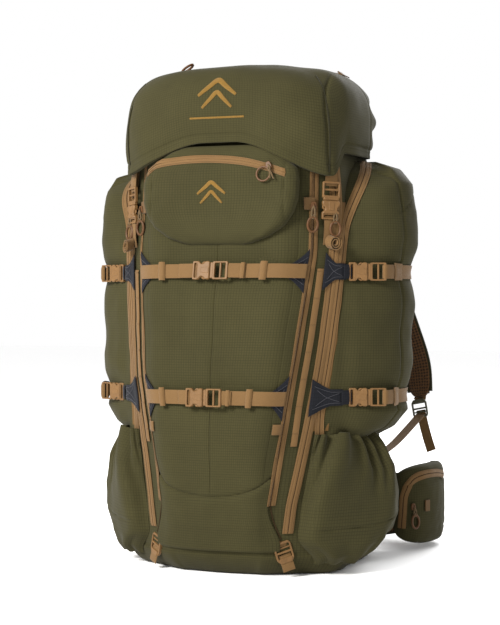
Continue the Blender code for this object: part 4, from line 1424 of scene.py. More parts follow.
def make_side_straps(ground, label, side):
    for level, z in LEVELS:
        section = side_pocket_section(z, 121)
        section[:, 2] = z
        origin = np.array([SIDE_PLANE, -0.095, z])
        cad_dir = unit(np.array([0.062, 0.029, 0.0]))
        cad_normal = np.array([cad_dir[1], -cad_dir[0], 0.0])
        meet = origin + cad_dir * 0.038 + cad_normal * 0.0045
        female = "side_buckle_%s_%s_female" % (level, label)
        male = "side_buckle_%s_%s_male" % (level, label)
        place, face = mirror(meet, side), mirror(cad_normal, side)
        make_female(female + "_moulding", place, mirror(-cad_dir, side), face, "pack", female)
        make_male(male + "_moulding", place, mirror(cad_dir, side), face, male, male)
        first = meet + cad_dir * 0.027 + cad_normal * 0.0025
        path = [first, first + cad_dir * 0.010 + cad_normal * 0.0002]
        for share in (0.44, 0.52, 0.62, 0.72, 0.82, 0.90):
            k = int(share * 120)
            step = section[k + 1] - section[k - 1]
            path.append(section[k] + unit((step[1], -step[0], 0.0)) * 0.0015)
        path.append(np.array([0.2165, 0.1020, z]))
        path.append(np.array([0.2040, 0.1180, z]))
        grid = wide_path(path, DOWN, INCH, 110, 7)
        grid = mirror_grid(grid, side)
        away = normals_of(grid)
        laid = ground.lay(grid, away, 0.0012, 0.010)
        share = smooth_step(0.10, 0.22, np.linspace(0.0, 1.0, 110))[:, None, None]
        grid = grid * (1.0 - share) + laid * share
        relax(grid, 3)
        strap = slab("side_webbing_%s_%s" % (level, label), grid, 0.0020, COYOTE, 0.0, 0.0008)
        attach(strap, "pack")
        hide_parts("side_strap_%s_%s" % (level, label))
        short = [body_point(4.74, z) + outward_at(4.74, z) * 0.0075,
                 meet - cad_dir * 0.0275 + cad_normal * 0.002]
        link = mirror_grid(wide_path(short, DOWN, INCH, 12, 5), side)
        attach(slab("side_buckle_tab_%s_%s" % (level, label), link, 0.0020, PATCH, 0.0, 0.0008), "pack")
        keeper = grid[16:22]
        keeper = keeper + normals_of(keeper) * 0.0024
        centre = keeper.mean(axis=1, keepdims=True)
        keeper = centre + (keeper - centre) * 1.25
        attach(slab("side_keeper_%s_%s" % (level, label), keeper, 0.0020, COYOTE, 0.0, 0.0009), "pack")


def roll(name, place, along, face, body, radius=0.0085, width=INCH):
    """Webbing end rolled up and held flat."""
    turns = np.linspace(0.0, 2.0 * math.pi * 2.3, 70)
    spiral = np.stack([np.cos(turns) * radius * (0.30 + 0.70 * turns / turns[-1]),
                       np.sin(turns) * radius * 0.85 * (0.30 + 0.70 * turns / turns[-1])], axis=1)
    x = unit(along)
    z = unit(face)
    y = np.cross(z, x)
    tilt = unit(z + 0.35 * y + 0.25 * x)
    points = [np.asarray(place, float) + x * a + y * b + tilt * width * 0.5 for a, b in spiral]
    return strip(name, points, tilt, width, 0.0019, COYOTE, body, 110)


# ------------------------------------------------------------------------ lid hardware
LID_BUCKLE_X = 0.1875
LID_STRAP_X = 0.130
LID_BUCKLE_MEET = 0.6655


def bag_corner(z, x):
    """Point and outward normal of the flat face between the bag's front and side."""
    front = np.array([np.interp(z, BAG_Z, FRONT_HALF), np.interp(z, BAG_Z, FRONT_Y), z])
    corner = np.array([np.interp(z, BAG_Z, SIDE_X), np.interp(z, BAG_Z, CORNER_Y), z])
    along = corner - front
    point = front + along * ((x - front[0]) / along[0])
    return point, unit((along[1], -along[0], 0.0))


def make_lid_buckles(label, side):
    point, normal = bag_corner(LID_BUCKLE_MEET, LID_BUCKLE_X)
    meet = point + normal * 0.008
    up = unit((0.0, 0.06, 1.0))
    female = "lid_buckle_%s_female" % label
    male = "lid_buckle_%s_male" % label
    face = mirror(normal, side)
    make_female(female + "_moulding", mirror(meet, side), mirror(-up, side), face, "pack", female)
    make_male(male + "_moulding", mirror(meet, side), mirror(up, side), face, "lid", male)
    across = np.cross(up, normal)
    top = meet + up * 0.026 + normal * 0.002
    lid_strap = [top, top + up * 0.016 + normal * 0.001, top + up * 0.034 - normal * 0.001,
                 top + up * 0.050 - normal * 0.004]
    grid = mirror_grid(wide_path(lid_strap, -across, 0.022, 20, 5), side)
    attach(slab("lid_strap_" + label, fix_side(grid, face), 0.0020, COYOTE, 0.0, 0.0008), "lid")
    low = meet - up * 0.027 + normal * 0.001
    tail = [low, low - up * 0.018, low - up * 0.036 - normal * 0.001, low - up * 0.052 - normal * 0.004]
    grid = mirror_grid(wide_path(tail, across, 0.022, 20, 5), side)
    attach(slab("lid_anchor_" + label, fix_side(grid, face), 0.0020, COYOTE, 0.0, 0.0008), "pack")
    end = low - up * 0.045 + normal * 0.003
    roll("rolled_end_" + label, mirror(end, side), mirror(-up, side), face, "pack", 0.0138, 0.017)
    tab_point, tab_normal = bag_corner(0.660, 0.158)
    place = mirror(tab_point + tab_normal * 0.004, side)
    m = Moulding("shoulder_tab_" + label, place, UP, mirror(tab_normal, side))
    plate = [(-0.011, -0.0095), (0.011, -0.0105), (0.011, 0.0105), (-0.011, 0.0095)]
    m.prism(plate, 0.0, 0.0032, 0.0006, 0.002)
    m.finish(COYOTE_TAB, "pack")


def fix_side(grid, face):
    """Turns a strip over if its outer side looks away from face."""
    n = normals_of(grid).reshape(-1, 3).mean(axis=0)
    return grid if np.dot(n, face) > 0 else grid[:, ::-1]


def make_lid_zip(ground):
    xs = np.linspace(-0.182, 0.186, 80)
    parts = []
    for width, thick, lift, material, shift in zip_layers(0.0160):
        lift = lift + 0.0006
        grid = np.zeros((5, 80, 3))
        for i, share in enumerate(np.linspace(-0.5, 0.5, 5)):
            bow = -0.016 + 0.022 * (np.abs(xs) / 0.19) ** 3
            grid[i] = np.stack([xs, bow + share * width + shift, np.full(80, 0.90)], axis=1)
        away = np.zeros_like(grid)
        lean = np.clip((np.abs(xs) - 0.13) / 0.06, 0.0, 1.0) * np.sign(xs)
        away[..., 0] = lean[None, :] * 0.75
        away[..., 2] = 1.0
        laid = ground.lay(grid, unit_rows(away), 0.0, 0.12)
        parts.append(slab("lid_zip_layer", laid, thick, material, lift))
    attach(join("lid_zipper", parts), "lid")
    spot = ground.spot((-0.1515, -0.0050, 0.90), unit((-0.35, 0.0, 1.0)), 0.0050)
    make_cord_pull("lid_pull", spot, (1.0, -0.15, 0.60), (-0.60, 0.0, 1.0), "lid_zip_slider",
                   "lid_zip_slider")
    tab = ground.spot((0.178, -0.020, 0.90), (0.6, 0.0, 0.8), 0.001)
    m = Moulding("lid_tab", tab, BACKWARD, (0.6, 0.0, 0.8))
    m.prism([(-0.009, -0.006), (0.009, -0.006), (0.009, 0.006), (-0.009, 0.006)], 0.0, 0.0028, 0.0006, 0.0015)
    m.finish(COYOTE_TAB, "lid")


def make_lid_straps(bag_ground, lid_ground):
    """Webbing from the back of the bag over the hinge point to the back of the lid."""
    for label, side in SIDES:
        x = side * LID_STRAP_X
        low = [bag_ground.spot((x, 0.13, z), BACKWARD, 0.0015) for z in (0.620, 0.650, 0.680, 0.705)]
        high = [lid_ground.spot((x, 0.16, z), BACKWARD, 0.0015) for z in (0.800, 0.825, 0.850)]
        hinge = np.array([x, 0.152, 0.748])
        route = low + [hinge] + high
        strap = strip("lid_hinge_strap_" + label, route, (-1.0, 0.0, 0.0), INCH, 0.0018, COYOTE, None, 80)
        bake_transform(strap)


def make_mark(name, ground, centre, scale, body, underline=0.0):
    """Two stacked peaks stitched in thread, laid on cloth that faces the front."""
    parts = []
    for level, half, width in ((0.30, 1.0, 0.26), (-0.32, 0.78, 0.22)):
        line = [(-half, level - 0.34), (-half * 0.42, level + 0.12), (0.0, level + 0.42),
                (half * 0.42, level + 0.12), (half, level - 0.34)]
        path = [(centre[0] + x * scale, -0.24, centre[1] + z * scale) for x, z in line]
        grid = wide_path(path, DOWN, width * scale, 46, 7)
        taper = 0.25 + 0.75 * np.sin(np.linspace(0.06, 0.94, 46) * np.pi) ** 0.6
        middle = grid.mean(axis=1, keepdims=True)
        grid = middle + (grid - middle) * taper[:, None, None]
        laid = ground.lay(grid, facing(grid, FORWARD), 0.0, 0.15)
        parts.append(slab("stitch", laid, 0.0011, GOLD, 0.0003, 0.0006))
    if underline:
        low = centre[1] - 1.15 * scale
        path = [(centre[0] + x, -0.24, low) for x in np.linspace(-underline, underline, 6)]
        grid = wide_path(path, DOWN, 0.0034, 60, 4)
        laid = ground.lay(grid, facing(grid, FORWARD), 0.0, 0.15)
        parts.append(slab("stitch", laid, 0.0009, GOLD, 0.0003, 0.0005))
    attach(join(name, parts), body)


# ------------------------------------------------------------------------ small pulls
def make_sliders(ground):
    for label, side in SIDES:
        place = body_point(side * 3.0, 0.655)
        normal = mirror(unit((0.35, -0.937, 0.0)), side)
        spot = ground.spot(place, normal, 0.0112, 0.03)
        make_cord_pull("main_zip_pull_" + label, spot, (0.0, -0.15, -1.0), normal,
                       "main_zip_slider_" + label, "main_zip_slider_" + label, 0.040)
        side_spot = body_point(side * 4.40, 0.645)
        n = outward_at(side * 4.40, 0.645)
        laid = ground.spot(side_spot, n, 0.0045, 0.03)
        make_cord_pull("side_zip_pull_" + label, laid, DOWN, n, "pack", None, 0.036)


def make_pocket_pull(ground):
    spot = ground.spot((0.100, -0.17, 0.7255), FORWARD, 0.0048, 0.08)
    m = Moulding("front_pocket_pull", spot, (0.35, -0.1, -0.94), (0.0, -1.0, 0.12))
    m.prism(SLIDER, -0.0012, 0.0024, 0.0008)
    m.finish(PULL, "front_pocket_slider", "front_pocket_slider")
    r = Moulding("front_pocket_ring", spot, (-0.55, 0.0, -0.83), (0.0, -1.0, 0.10))
    r.tube(loop_path(0.0170, 0.0, 0.0018, 0.0125, 0.0125, 40), 0.0017, 10)
    r.finish(PULL, "front_pocket_slider")
    k = Moulding("front_pocket_knot", spot, (0.35, 0.0, -0.94), (0.0, -1.0, 0.10))
    thick_end = [(-0.002, 0, 0.003), (0.004, 0.002, 0.004), (0.010, 0.0, 0.004), (0.022, -0.004, 0.003)]
    thin_end = [(0.0, 0.002, 0.003), (0.006, -0.002, 0.004), (0.012, 0.001, 0.004), (0.026, 0.002, 0.003)]
    for cord, radius in ((thick_end, 0.0016), (thin_end, 0.0014)):
        k.tube(catmull(cord, 16), radius, 8)
    k.finish(CORD, "front_pocket_slider")


def make_base_locks(label, side):
    point, normal = bag_corner(0.045, 0.122)
    place = mirror(point + normal * 0.003, side)
    face = mirror(normal, side)
    up = unit((-0.30, -0.10, 1.0))
    make_ladder_lock("base_lock_moulding_" + label, place, mirror(up, side), face, "pack", "base_lock_" + label)
    for name, begin, stop in (("base_webbing_up_", 0.010, 0.045), ("base_webbing_down_", -0.034, -0.004)):
        base = point + normal * 0.0025
        path = [base + up * begin, base + up * 0.5 * (begin + stop), base + up * stop - normal * 0.0015]
        grid = fix_side(mirror_grid(wide_path(path, np.cross(normal, up), 0.0225, 14, 5), side), face)
        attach(slab(name + label, grid, 0.0020, COYOTE, 0.0, 0.0007), "pack")


# ---------------------------------------------------------------------- back and pads
def pillow(name, half_top, half_bottom, low, high, back, thick, material, channel=0.014, ribs=()):
    """Foam pad: crowned face away from the bag, flat front, a centre channel and cross grooves."""
    rows, cols = 72, 64
    v = np.linspace(-1.0, 1.0, rows)[:, None]
    u = np.linspace(-1.0, 1.0, cols)[None, :]
    z = 0.5 * (low + high) + 0.5 * (high - low) * v
    half = half_bottom + (half_top - half_bottom) * 0.5 * (v + 1.0)
    corner = 1.0 - 0.16 * np.clip((np.abs(v) - 0.80) / 0.20, 0.0, 1.0) ** 2.2
    x = -u * half * corner
    rim_u = np.clip((1.0 - np.abs(u)) / 0.13, 0.0, 1.0)
    rim_v = np.clip((1.0 - np.abs(v)) / 0.10, 0.0, 1.0)
    dome = np.sqrt(1.0 - (1.0 - rim_u) ** 2) * np.sqrt(1.0 - (1.0 - rim_v) ** 2)
    depth = thick * (0.30 + 0.70 * dome)
    depth = depth + groove(x, channel, thick * 0.55) * dome
    for rib in ribs:
        depth = depth + groove(z - rib - 0.05 * np.abs(x), 0.0055, 0.006) * dome
    flat = np.stack(np.broadcast_arrays(x, z), axis=2)
    grid = np.stack([flat[..., 0], back + depth, flat[..., 1]], axis=2)
    grid[..., 1] += 0.0020 * rough(grid, 14.0, 12.0) * dome
    base = grid.copy()
    base[..., 1] = back
    obj = two_sided(name, grid, base, flat.reshape(-1, 2), material, 50.0)
    edge = grid.reshape(-1, 3)[rim_of(rows, cols)]
    edge[:, 1] = back + 0.30 * thick
    binding = sweep(name + "_binding", smooth_loop(edge), 0.0026, OLIVE_PLAIN, closed=True)
    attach(obj, "pack")
    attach(binding, "pack")
    return obj


def smooth_loop(points):
    p = np.asarray(points, float)
    for _ in range(3):
        p = 0.25 * np.roll(p, 1, 0) + 0.5 * p + 0.25 * np.roll(p, -1, 0)
    return p


PAD_BACK = 0.1385


def make_back():
    upper = pillow("back_pad_mesh", 0.105, 0.125, 0.345, 0.640, PAD_BACK, 0.026, MESH, 0.016,
                   (0.42, 0.49, 0.56))
    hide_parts("back_pad")
    lumbar = pillow("lumbar_pad_mesh", 0.118, 0.112, 0.025, 0.330, PAD_BACK, 0.034, MESH, 0.020,
                    (0.10, 0.19, 0.27))
    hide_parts("lumbar_pad")
    for label, side in SIDES:
        keep_node("frame_stay_" + label, METAL)
    keep_node("frame_sheet", SHEET)
    route = ((-0.038, 0.1425, 0.672), (-0.0365, 0.156, 0.700), (-0.020, 0.166, 0.722), (0.020, 0.166, 0.722),
             (0.0365, 0.156, 0.700), (0.038, 0.1425, 0.672))
    grid = wide_path(route, (0.0, 1.0, -0.2), 0.016, 70, 5)
    loop = slab("haul_loop_webbing", grid[:, ::-1], 0.0028, COYOTE, -0.0014, 0.001)
    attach(loop, "pack")
    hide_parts("haul_loop")
    rod = sweep("haul_loop_grip", catmull(route, 60)[16:44], 0.0058, PULL)
    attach(rod, "pack")
    for label, side in SIDES:
        m = Moulding("haul_patch_" + label, (side * 0.0385, 0.1395, 0.664), UP, BACKWARD)
        m.prism(rectangle(-0.012, 0.012, 0.012), -0.006, 0.003, 0.0006, 0.002)
        m.finish(PATCH_PLAIN, "pack")
    strip("yoke_panel", ((0.0, 0.1335, 0.600), (0.0, 0.1365, 0.650), (0.0, 0.1330, 0.700)),
          (-1.0, 0.0, 0.0), 0.200, 0.0022, OLIVE, "pack", 30)


def keep_node(name, material):
    obj = bpy.data.objects[name]
    obj.data.materials.clear()
    obj.data.materials.append(material)


# ---------------------------------------------------------------------------- harness
STRAP_ROUTE = ((0.062, 0.180, 0.600), (0.070, 0.205, 0.634), (0.085, 0.250, 0.655), (0.106, 0.312, 0.642),
               (0.126, 0.364, 0.588), (0.148, 0.398, 0.512), (0.172, 0.422, 0.430), (0.194, 0.432, 0.355),
               (0.203, 0.424, 0.285))
STRAP_LOCK = np.array([0.2035, 0.4175, 0.2640])
STRAP_ANCHOR = np.array([0.172, 0.150, 0.172])


def path_frame(points, across, samples):
    """Middle line, sideways and outward directions of a strap."""
    path = catmull(points, samples)
    tangent = unit_rows(np.gradient(path, axis=0))
    side = np.broadcast_to(np.asarray(across, float), path.shape)
    side = unit_rows(side - tangent * np.sum(side * tangent, axis=1, keepdims=True))
    return path, side, np.cross(side, tangent), tangent


def foam_strap(name, points, across, half, thick, material, body, samples=130, around=40):
    """Rounded foam strap: half is the half width at each sample."""
    path, side, out, _ = path_frame(points, across, samples)
    angle = np.linspace(0.0, 2.0 * np.pi, around, endpoint=False)
    wide = rounded(np.cos(angle), 0.55)
    deep = rounded(np.sin(angle), 0.75)
    ends = np.sqrt(np.clip(1.0 - (np.abs(np.linspace(-1, 1, samples)) ** 24), 0.02, 1.0))
    grid = path[:, None] + side[:, None] * (wide[None, :, None] * (half * ends)[:, None, None])
    grid = grid + out[:, None] * (deep[None, :, None] * 0.5 * thick * ends[:, None, None])
    bumps = 0.0010 * rough(grid, 30.0, 5.0)
    grid = grid + out[:, None] * (bumps[..., None] * np.sign(deep)[None, :, None])
    obj = tube_grid(name, grid[:, ::-1], material, sharp=60.0)
    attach(obj, body)
    return obj


def make_shoulder(label, side):
    samples = 130
    route = [mirror(p, side) for p in STRAP_ROUTE]
    t = np.linspace(0.0, 1.0, samples)
    half = 0.031 * (1.0 - 0.25 * t) * (1.0 - 0.06 * np.sin(t * np.pi * 2.0))
    across = (1.0, 0.0, 0.0)
    pad = foam_strap("shoulder_pad_" + label, route, across, half, 0.0145, MESH, "harness", samples)
    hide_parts("shoulder_strap_" + label)
    path, sideways, out, tangent = path_frame(route, across, samples)
    shell = []
    for share in np.linspace(-0.80, 0.80, 13):
        shell.append(path + sideways * (share * half)[:, None] + out * (0.0072 - 0.0016 * share ** 4))
    grid = np.array(shell).transpose(1, 0, 2)[2:-2]
    crest = 0.0007 * np.sin(np.linspace(0, 60, grid.shape[0]))[:, None, None] * out[2:-2][:, None]
    cover = slab("shoulder_cover_" + label, grid + crest, 0.0014, OLIVE, 0.0, 0.0010)
    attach(cover, "harness")
    for edge in (-1.0, 1.0):
        line = path + sideways * (edge * half * 0.985)[:, None]
        name = "shoulder_binding_%s_%d" % (label, edge > 0)
        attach(sweep(name, line[3:-3], 0.0038, OLIVE_PLAIN), "harness")
    grid = wide_path([p for p in (path + out * 0.0092)[6:124:8]], across, 0.020, 100)
    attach(slab("shoulder_daisy_" + label, grid, 0.0018, COYOTE, 0.0, 0.0007), "harness")
    for i in range(6):
        k = 20 + i * 16
        m = Moulding("shoulder_bartack_%s_%d" % (label, i), path[k] + out[k] * 0.0108, tangent[k], out[k])
        m.prism(rectangle(-0.0010, 0.0010, 0.0098), 0.0, 0.0011, 0.0003, 0.0003)
        m.finish(COIL, "harness")
    direction = unit((0.20 * side, -0.12, -1.0))
    lock = mirror(STRAP_LOCK, side)
    make_ladder_lock("shoulder_lock_" + label, lock, direction, (0.0, 1.0, -0.1), "harness", "ladder_lock_" + label,
                     GREEN_PLASTIC)
    tongue = [path[-8] + out[-8] * 0.004, path[-2] + out[-2] * 0.0015,
              lock - direction * 0.016 + np.array([0, 0.0035, 0.0])]
    strip("lock_tongue_" + label, tongue, across, 0.024, 0.002, COYOTE, "harness", 20)
    edge_point = path[104] + sideways[104] * side * 0.5 * 0.046
    d_ring = Moulding("strap_d_ring_" + label, edge_point, tangent[104], out[104])
    d_ring.tube(loop_path(0.0, 0.006, 0.006, 0.010, 0.008, 30), 0.0014, 8)
    d_ring.finish(GREEN_PLASTIC, "harness")
    start = lock + direction * 0.012 + np.array([0.0, 0.0030, 0.0])
    anchor = mirror(STRAP_ANCHOR, side)
    middle = 0.5 * (start + anchor) - np.array([0.0, 0.0, 0.010])
    sag = np.array([0, 0, 0.006])
    route = [start, start * 0.75 + anchor * 0.25 - sag, middle, anchor * 0.75 + start * 0.25 - sag, anchor]
    low = strip("shoulder_webbing_cloth_" + label, route, across, 0.020, 0.0019, COYOTE, None, 80)
    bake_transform(low)
    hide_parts("shoulder_webbing_" + label)
    tail_start = lock + direction * 0.004 + np.array([0.0, 0.0050, 0.0])
    tail = [tail_start, tail_start + direction * 0.03 + np.array([0.0, 0.006, 0.0]),
            tail_start + direction * 0.060 + np.array([side * 0.004, 0.004, 0.0]),
            tail_start + direction * 0.085 + np.array([side * 0.010, -0.002, 0.0])]
    strip("shoulder_tail_" + label, tail, across, 0.0195, 0.0018, COYOTE, "harness", 30)
    lift_start = path[26] + out[26] * 0.0100
    lift_end = np.array([0.083 * side, 0.128, 0.716])
    route = [lift_start, 0.5 * (lift_start + lift_end) + np.array([0.0, 0.0, -0.004]), lift_end]
    lifter = strip("load_lifter_" + label, route, across, 0.019, 0.0018, COYOTE, None, 40)
    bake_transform(lifter)
    direction_up = unit(lift_end - lift_start)
    place = lift_start + direction_up * 0.010 + np.array([0.0, 0.003, 0.003])
    make_triglide("lifter_slide_" + label, place, direction_up, np.cross(across, direction_up), "harness", None,
                  0.0125, GREEN_PLASTIC)
    anchor_point = mirror((0.172, 0.144, 0.172), side)
    m = Moulding("strap_anchor_" + label, anchor_point, UP, BACKWARD)
    patch = [(-0.022, -0.016), (0.022, -0.010), (0.022, 0.010), (-0.022, 0.016)]
    m.prism(patch, -0.008, 0.0045, 0.0007, 0.003)
    m.finish(PATCH_PLAIN, "pack")


def make_yoke():
    """Padded panel between the two straps where they leave the pack."""
    rows = []
    route = ((0.560, 0.166, 0.070), (0.585, 0.174, 0.088), (0.612, 0.190, 0.094), (0.632, 0.208, 0.090))
    for z, y, half in route:
        rows.append([(x, y + 0.004 * math.cos(x / half * 1.5), z) for x in np.linspace(half, -half, 41)])
    grid = np.array(rows)
    fine = np.array([catmull(grid[:, c], 24) for c in range(grid.shape[1])]).transpose(1, 0, 2)
    fine = fine + normals_of(fine) * (0.0016 * rough(fine, 20.0, 3.0))[..., None]
    yoke = slab("harness_yoke", fine, 0.008, MESH_DARK, -0.004, 0.003)
    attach(yoke, "harness")


def make_sternum():
    y, z = 0.4435, 0.385
    xs = np.linspace(0.150, -0.150, 9)
    points = [(x, y + 0.0006 * math.cos(x * 60.0), z) for x in xs]
    webbing = strip("sternum_webbing_cloth", points, DOWN, 0.0195, 0.0019, COYOTE, None, 90, -0.0009)
    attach(webbing, "sternum_strap")
    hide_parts("sternum_webbing")
    m = Moulding("sternum_buckle_moulding", (0.0, y + 0.0013, z), (1.0, 0.0, 0.0), BACKWARD)
    edge = [(-0.0235, -0.0118), (-0.008, -0.0138), (0.004, -0.0120), (0.010, -0.0138), (0.0235, -0.0118)]
    m.prism(edge + [(x, -w) for x, w in reversed(edge)], 0.0, 0.0058, 0.0012)
    m.prism(rectangle(-0.016, 0.014, 0.006), 0.0052, 0.0070, 0.0008)
    for sign in (-1.0, 1.0):
        m.bar((0.0125, sign * 0.0105 - 0.0022, 0.0045), (0.0185, sign * 0.0105 + 0.0022, 0.0066))
    m.finish(PLASTIC, "sternum_strap", "sternum_buckle")
    for label, side in SIDES:
        for kind, x, half in (("slide", 0.145, 0.0125), ("adjust", 0.062, 0.0120)):
            place = (side * x, y + 0.001, z)
            make_triglide("sternum_%s_%s" % (kind, label), place, (side, 0.0, 0.0), BACKWARD,
                          "sternum_strap", None, half)


# --------------------------------------------------------------------------- hip belt
HIP_ROUTE = ((0.122, 0.187), (0.165, 0.190), (0.205, 0.212), (0.228, 0.255), (0.234, 0.305), (0.218, 0.360),
             (0.180, 0.396))
BELT_Z = 0.092
BELT_Y = 0.412


def hip_curve(samples):
    """Plan of the wing's middle line with the normal that looks away from the wearer."""
    plan = catmull(HIP_ROUTE, samples)
    tangent = unit_rows(np.gradient(plan, axis=0))
    return plan, np.stack([tangent[:, 1], -tangent[:, 0]], axis=1)


def make_hip(label, side):
    body = "hip_" + label
    samples, around = 110, 44
    plan, away = hip_curve(samples)
    share = np.linspace(0.0, 1.0, samples)
    low = 0.030 + 0.030 * share ** 2
    high = 0.150 - 0.020 * share ** 2
    angle = np.linspace(0.0, 2.0 * np.pi, around, endpoint=False)
    tall = rounded(np.sin(angle), 0.55)
    deep = rounded(np.cos(angle), 0.75)
    ends = np.sqrt(np.clip(1.0 - np.abs(np.linspace(-1, 1, samples)) ** 20, 0.05, 1.0))
    grid = np.zeros((samples, around, 3))
    for i in range(samples):
        middle, half = 0.5 * (low[i] + high[i]), 0.5 * (high[i] - low[i]) * (0.92 + 0.08 * ends[i])
        z = middle + tall * half
        offset = deep * 0.008 * ends[i]
        grid[i, :, 0] = plan[i, 0] + away[i, 0] * offset
        grid[i, :, 1] = plan[i, 1] + away[i, 1] * offset
        grid[i, :, 2] = z
    dent = 0.0014 * rough(grid, 26.0, 8.0)
    grid[..., 0] += dent * away[:, 0][:, None] * np.sign(deep)[None, :]
    grid[..., 1] += dent * away[:, 1][:, None] * np.sign(deep)[None, :]
    grid = orient(grid * (side, 1.0, 1.0), side)
    wing = tube_grid("hip_wing_mesh_" + label, grid, MESH, sharp=60.0)
    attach(wing, body)
    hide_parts("hip_wing_" + label)
    for edge, name in ((low + 0.001, "low"), (high - 0.001, "high")):
        line = np.stack([plan[:, 0] * side, plan[:, 1], edge], axis=1)[2:-2]
        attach(sweep("hip_binding_%s_%s" % (name, label), line, 0.0042, OLIVE_PLAIN), body)
    make_pouch(label, side, body)
    belt = [(0.214, 0.368), (0.190, 0.393), (0.160, 0.405), (0.120, BELT_Y + 0.0015), (0.060, BELT_Y + 0.002),
            (0.030, BELT_Y + 0.002)]
    points = [(x * side, y + 0.001, BELT_Z) for x, y in belt]
    width_direction = (0.0, 0.0, side)
    name = "belt_webbing_cloth_" + label
    webbing = strip(name, points, width_direction, 0.038, 0.0022, COYOTE, None, 60, -0.0011)
    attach(webbing, body)
    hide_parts("belt_webbing_" + label)
    plan = ((0.040, BELT_Y), (0.080, BELT_Y + 0.001), (0.118, BELT_Y - 0.001))
    tail = [(x * side, y + 0.0050, BELT_Z) for x, y in plan]
    strip("belt_tail_" + label, tail, width_direction, 0.037, 0.0020, COYOTE, body, 30, -0.0010)
    place = (side * 0.098, BELT_Y + 0.0030, BELT_Z)
    m = Moulding("belt_keeper_" + label, place, (side, 0.0, 0.0), BACKWARD)
    m.ring(rectangle(-0.005, 0.005, 0.0225), rectangle(-0.002, 0.002, 0.0195), -0.0030, 0.0060)
    m.finish(PLASTIC, body)
    make_belt_buckle(side, body)
    route = ((0.150, 0.176, 0.060), (0.185, 0.181, 0.064), (0.218, 0.206, 0.068), (0.236, 0.232, 0.070))
    anchor = [(x * side, y, z) for x, y, z in route]
    strip("stabiliser_" + label, anchor, width_direction, 0.022, 0.0020, COYOTE, body, 40)
    place = np.array([0.2290 * side, 0.2210, 0.0690])
    make_triglide("stabiliser_slide_" + label, place, (0.62 * side, 0.78, 0.0), (0.78 * side, -0.62, 0.0), body,
                  None, 0.0140)


def orient(grid, side):
    """Rings that run from the inner end outwards, turned so that faces look out."""
    return grid[:, ::-1] if side > 0 else grid


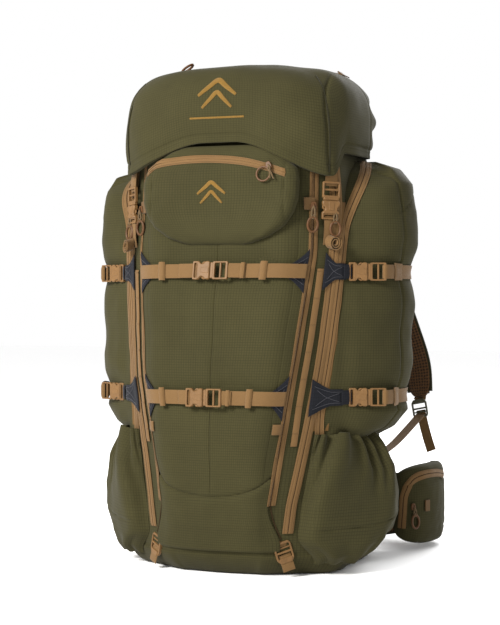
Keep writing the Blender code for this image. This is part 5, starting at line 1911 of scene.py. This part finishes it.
def make_pouch(label, side, body):
    """Belt pouch: a rounded box that follows the wing, with a curved zipper."""
    samples, around = 90, 72
    plan, away = hip_curve(111)
    first, last = 37, 94
    rows = np.linspace(first, last, samples)
    grid = np.zeros((samples, around, 3))
    angle = np.linspace(0.0, 2.0 * np.pi, around, endpoint=False)
    for i, r in enumerate(rows):
        k = int(r)
        f = r - k
        centre = plan[k] * (1 - f) + plan[min(k + 1, 110)] * f
        out = away[k] * (1 - f) + away[min(k + 1, 110)] * f
        share = i / (samples - 1.0)
        end = math.sqrt(max(1.0 - abs(2.0 * share - 1.0) ** 3.4, 0.0))
        depth = 0.005 + 0.0385 * end
        tall = 0.052 + 0.026 * end
        offset = 0.0085 + depth * 0.5 * (1.0 + rounded(np.cos(angle), 0.62))
        z = 0.089 + tall * rounded(np.sin(angle), 0.62)
        grid[i, :, 0] = centre[0] + out[0] * offset
        grid[i, :, 1] = centre[1] + out[1] * offset
        grid[i, :, 2] = z
    noise_part = 0.0050 * rough(grid, 16.0, 7.0) + 0.0016 * rough(grid, 45.0, 2.0)
    outer = np.clip(np.cos(angle), 0.0, 1.0)[None, :] ** 0.5
    run = np.linspace(0.0, 1.0, samples)[:, None]
    height = grid[..., 2]
    seam = groove(height - 0.135 + 0.03 * (run - 0.5) ** 2, 0.0022, 0.0026)
    seam = seam + groove(height - 0.040, 0.0022, 0.0024)
    push = (noise_part + seam) * outer
    direction = np.stack([np.interp(rows, np.arange(111), away[:, i]) for i in (0, 1)], axis=1)
    grid[..., 0] += push * direction[:, 0][:, None]
    grid[..., 1] += push * direction[:, 1][:, None]
    out_middle = grid.copy()
    grid = orient(grid * (side, 1.0, 1.0), side)
    pouch = tube_grid("belt_pouch_cloth_" + label, grid, OLIVE, sharp=60.0)
    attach(pouch, body)
    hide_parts("belt_pouch_" + label)
    ground = Ground([pouch])
    parts = []
    run = np.concatenate([[0.0], np.cumsum(np.linalg.norm(np.diff(out_middle[:, 0, :2], axis=0), axis=1))])
    route = smooth_line(catmull(((0.016, 0.045), (0.018, 0.080), (0.022, 0.112), (0.036, 0.138), (0.066, 0.148),
                                 (0.110, 0.148), (0.150, 0.142)), 80))
    slope = unit_rows(np.gradient(route, axis=0))
    for width, thick, lift, material, shift in zip_layers(0.0150):
        strip_grid = np.zeros((80, 5, 3))
        aim = np.zeros_like(strip_grid)
        for i in range(80):
            for j, offset in enumerate(np.linspace(-0.5, 0.5, 5)):
                reach = offset * width + shift
                along = route[i, 0] + slope[i, 1] * reach
                strip_grid[i, j, 0] = np.interp(along, run, out_middle[:, 0, 0]) * side
                strip_grid[i, j, 1] = np.interp(along, run, out_middle[:, 0, 1])
                strip_grid[i, j, 2] = route[i, 1] - slope[i, 0] * reach
                aim[i, j, 0] = np.interp(along, run, direction[:, 0]) * side
                aim[i, j, 1] = np.interp(along, run, direction[:, 1])
        laid = ground.lay(strip_grid, aim, 0.0, 0.05)
        if side < 0:
            laid = laid[:, ::-1]
        parts.append(slab("pouch_zip_layer", laid, thick, material, lift + 0.0006))
    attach(join("pouch_zip_" + label, parts), body)

    def on_pouch(row, z, lift):
        place = out_middle[row, 0] * (side, 1.0, 1.0)
        aim = np.array([direction[row, 0] * side, direction[row, 1], 0.0])
        place[2] = z
        return ground.spot(place, aim, lift, 0.05), aim

    spot, aim = on_pouch(9, 0.086, 0.004)
    make_cord_pull("pouch_pull_" + label, spot, (0.0, 0.1, -1.0), aim, body, None, 0.030)
    spot, aim = on_pouch(22, 0.088, 0.0006)
    m = Moulding("pouch_tab_" + label, spot, UP, aim)
    m.prism([(-0.011, -0.007), (0.011, -0.007), (0.011, 0.007), (-0.011, 0.007)], 0.0, 0.0030, 0.0006, 0.0015)
    m.finish(COYOTE_TAB, body)


def make_belt_buckle(side, body):
    node = "belt_buckle_" + ("male" if side > 0 else "female")
    m = Moulding(node + "_moulding", (side * 0.008, BELT_Y + 0.0043, BELT_Z), (side, 0.0, 0.0), BACKWARD)
    half = 0.0258
    if side > 0:
        m.bar((0.0, -0.0225, 0.0008), (0.0080, 0.0225, 0.0085))
        m.ring(rectangle(0.0060, 0.0400, half), rectangle(0.0115, 0.0350, 0.0195), 0.0003, 0.0085)
        m.bar((0.0205, -0.021, 0.0012), (0.0245, 0.021, 0.0068))
        m.bar((-0.0135, -0.0028, 0.0026), (0.0010, 0.0028, 0.0070))
        for sign in (-1.0, 1.0):
            spring = [(0.001, sign * 0.0160, 0.0048), (-0.0050, sign * 0.0175, 0.0048),
                      (-0.0100, sign * 0.0205, 0.0048), (-0.0140, sign * 0.0150, 0.0048)]
            m.tube(catmull(spring, 14), 0.0026, 8)
    else:
        waist = [(0.0, -0.0240), (0.006, -half), (0.013, -0.0250), (0.019, -0.0185), (0.024, -0.0190),
                 (0.029, -0.0200), (0.033, -0.0235)]
        m.prism(waist + [(x, -y) for x, y in reversed(waist)], 0.0003, 0.0095, 0.0014, 0.002)
        thumb_pad = [(0.003, -0.0085), (0.022, -0.0060), (0.022, 0.0060), (0.003, 0.0085)]
        m.prism(thumb_pad, 0.0088, 0.0104, 0.0007)
        m.ring(rectangle(0.0275, 0.0400, half - 0.001), rectangle(0.0318, 0.0372, 0.0195), 0.0003, 0.0085)
    m.finish(PLASTIC, body, node)


# --------------------------------------------------------------------------- assembly
make_camera()
make_stage()
bag = make_bag()
make_collar()
panel = make_front_panel()
body_ground = Ground([bag, panel])
make_body_zippers(body_ground)
pocket = make_front_pocket()
lid = make_lid()
make_lid_zip(Ground([lid]))
make_lid_straps(body_ground, Ground([lid]))
make_front_straps()
for label, side in SIDES:
    side_cloth = make_side_pocket(label, side)
    make_wing_pocket(label, side)
    make_side_straps(Ground([bag, side_cloth]), label, side)
    make_lid_buckles(label, side)
    make_base_locks(label, side)
make_patches(body_ground)
make_sliders(body_ground)
make_pocket_pull(Ground([pocket]))
make_mark("lid_mark", Ground([lid]), (0.0, 0.856), 0.036, "lid", 0.052)
make_mark("pocket_mark", Ground([pocket]), (-0.010, 0.680), 0.027, "pack")
make_back()
for label, side in SIDES:
    make_shoulder(label, side)
    make_hip(label, side)
make_yoke()
make_sternum()
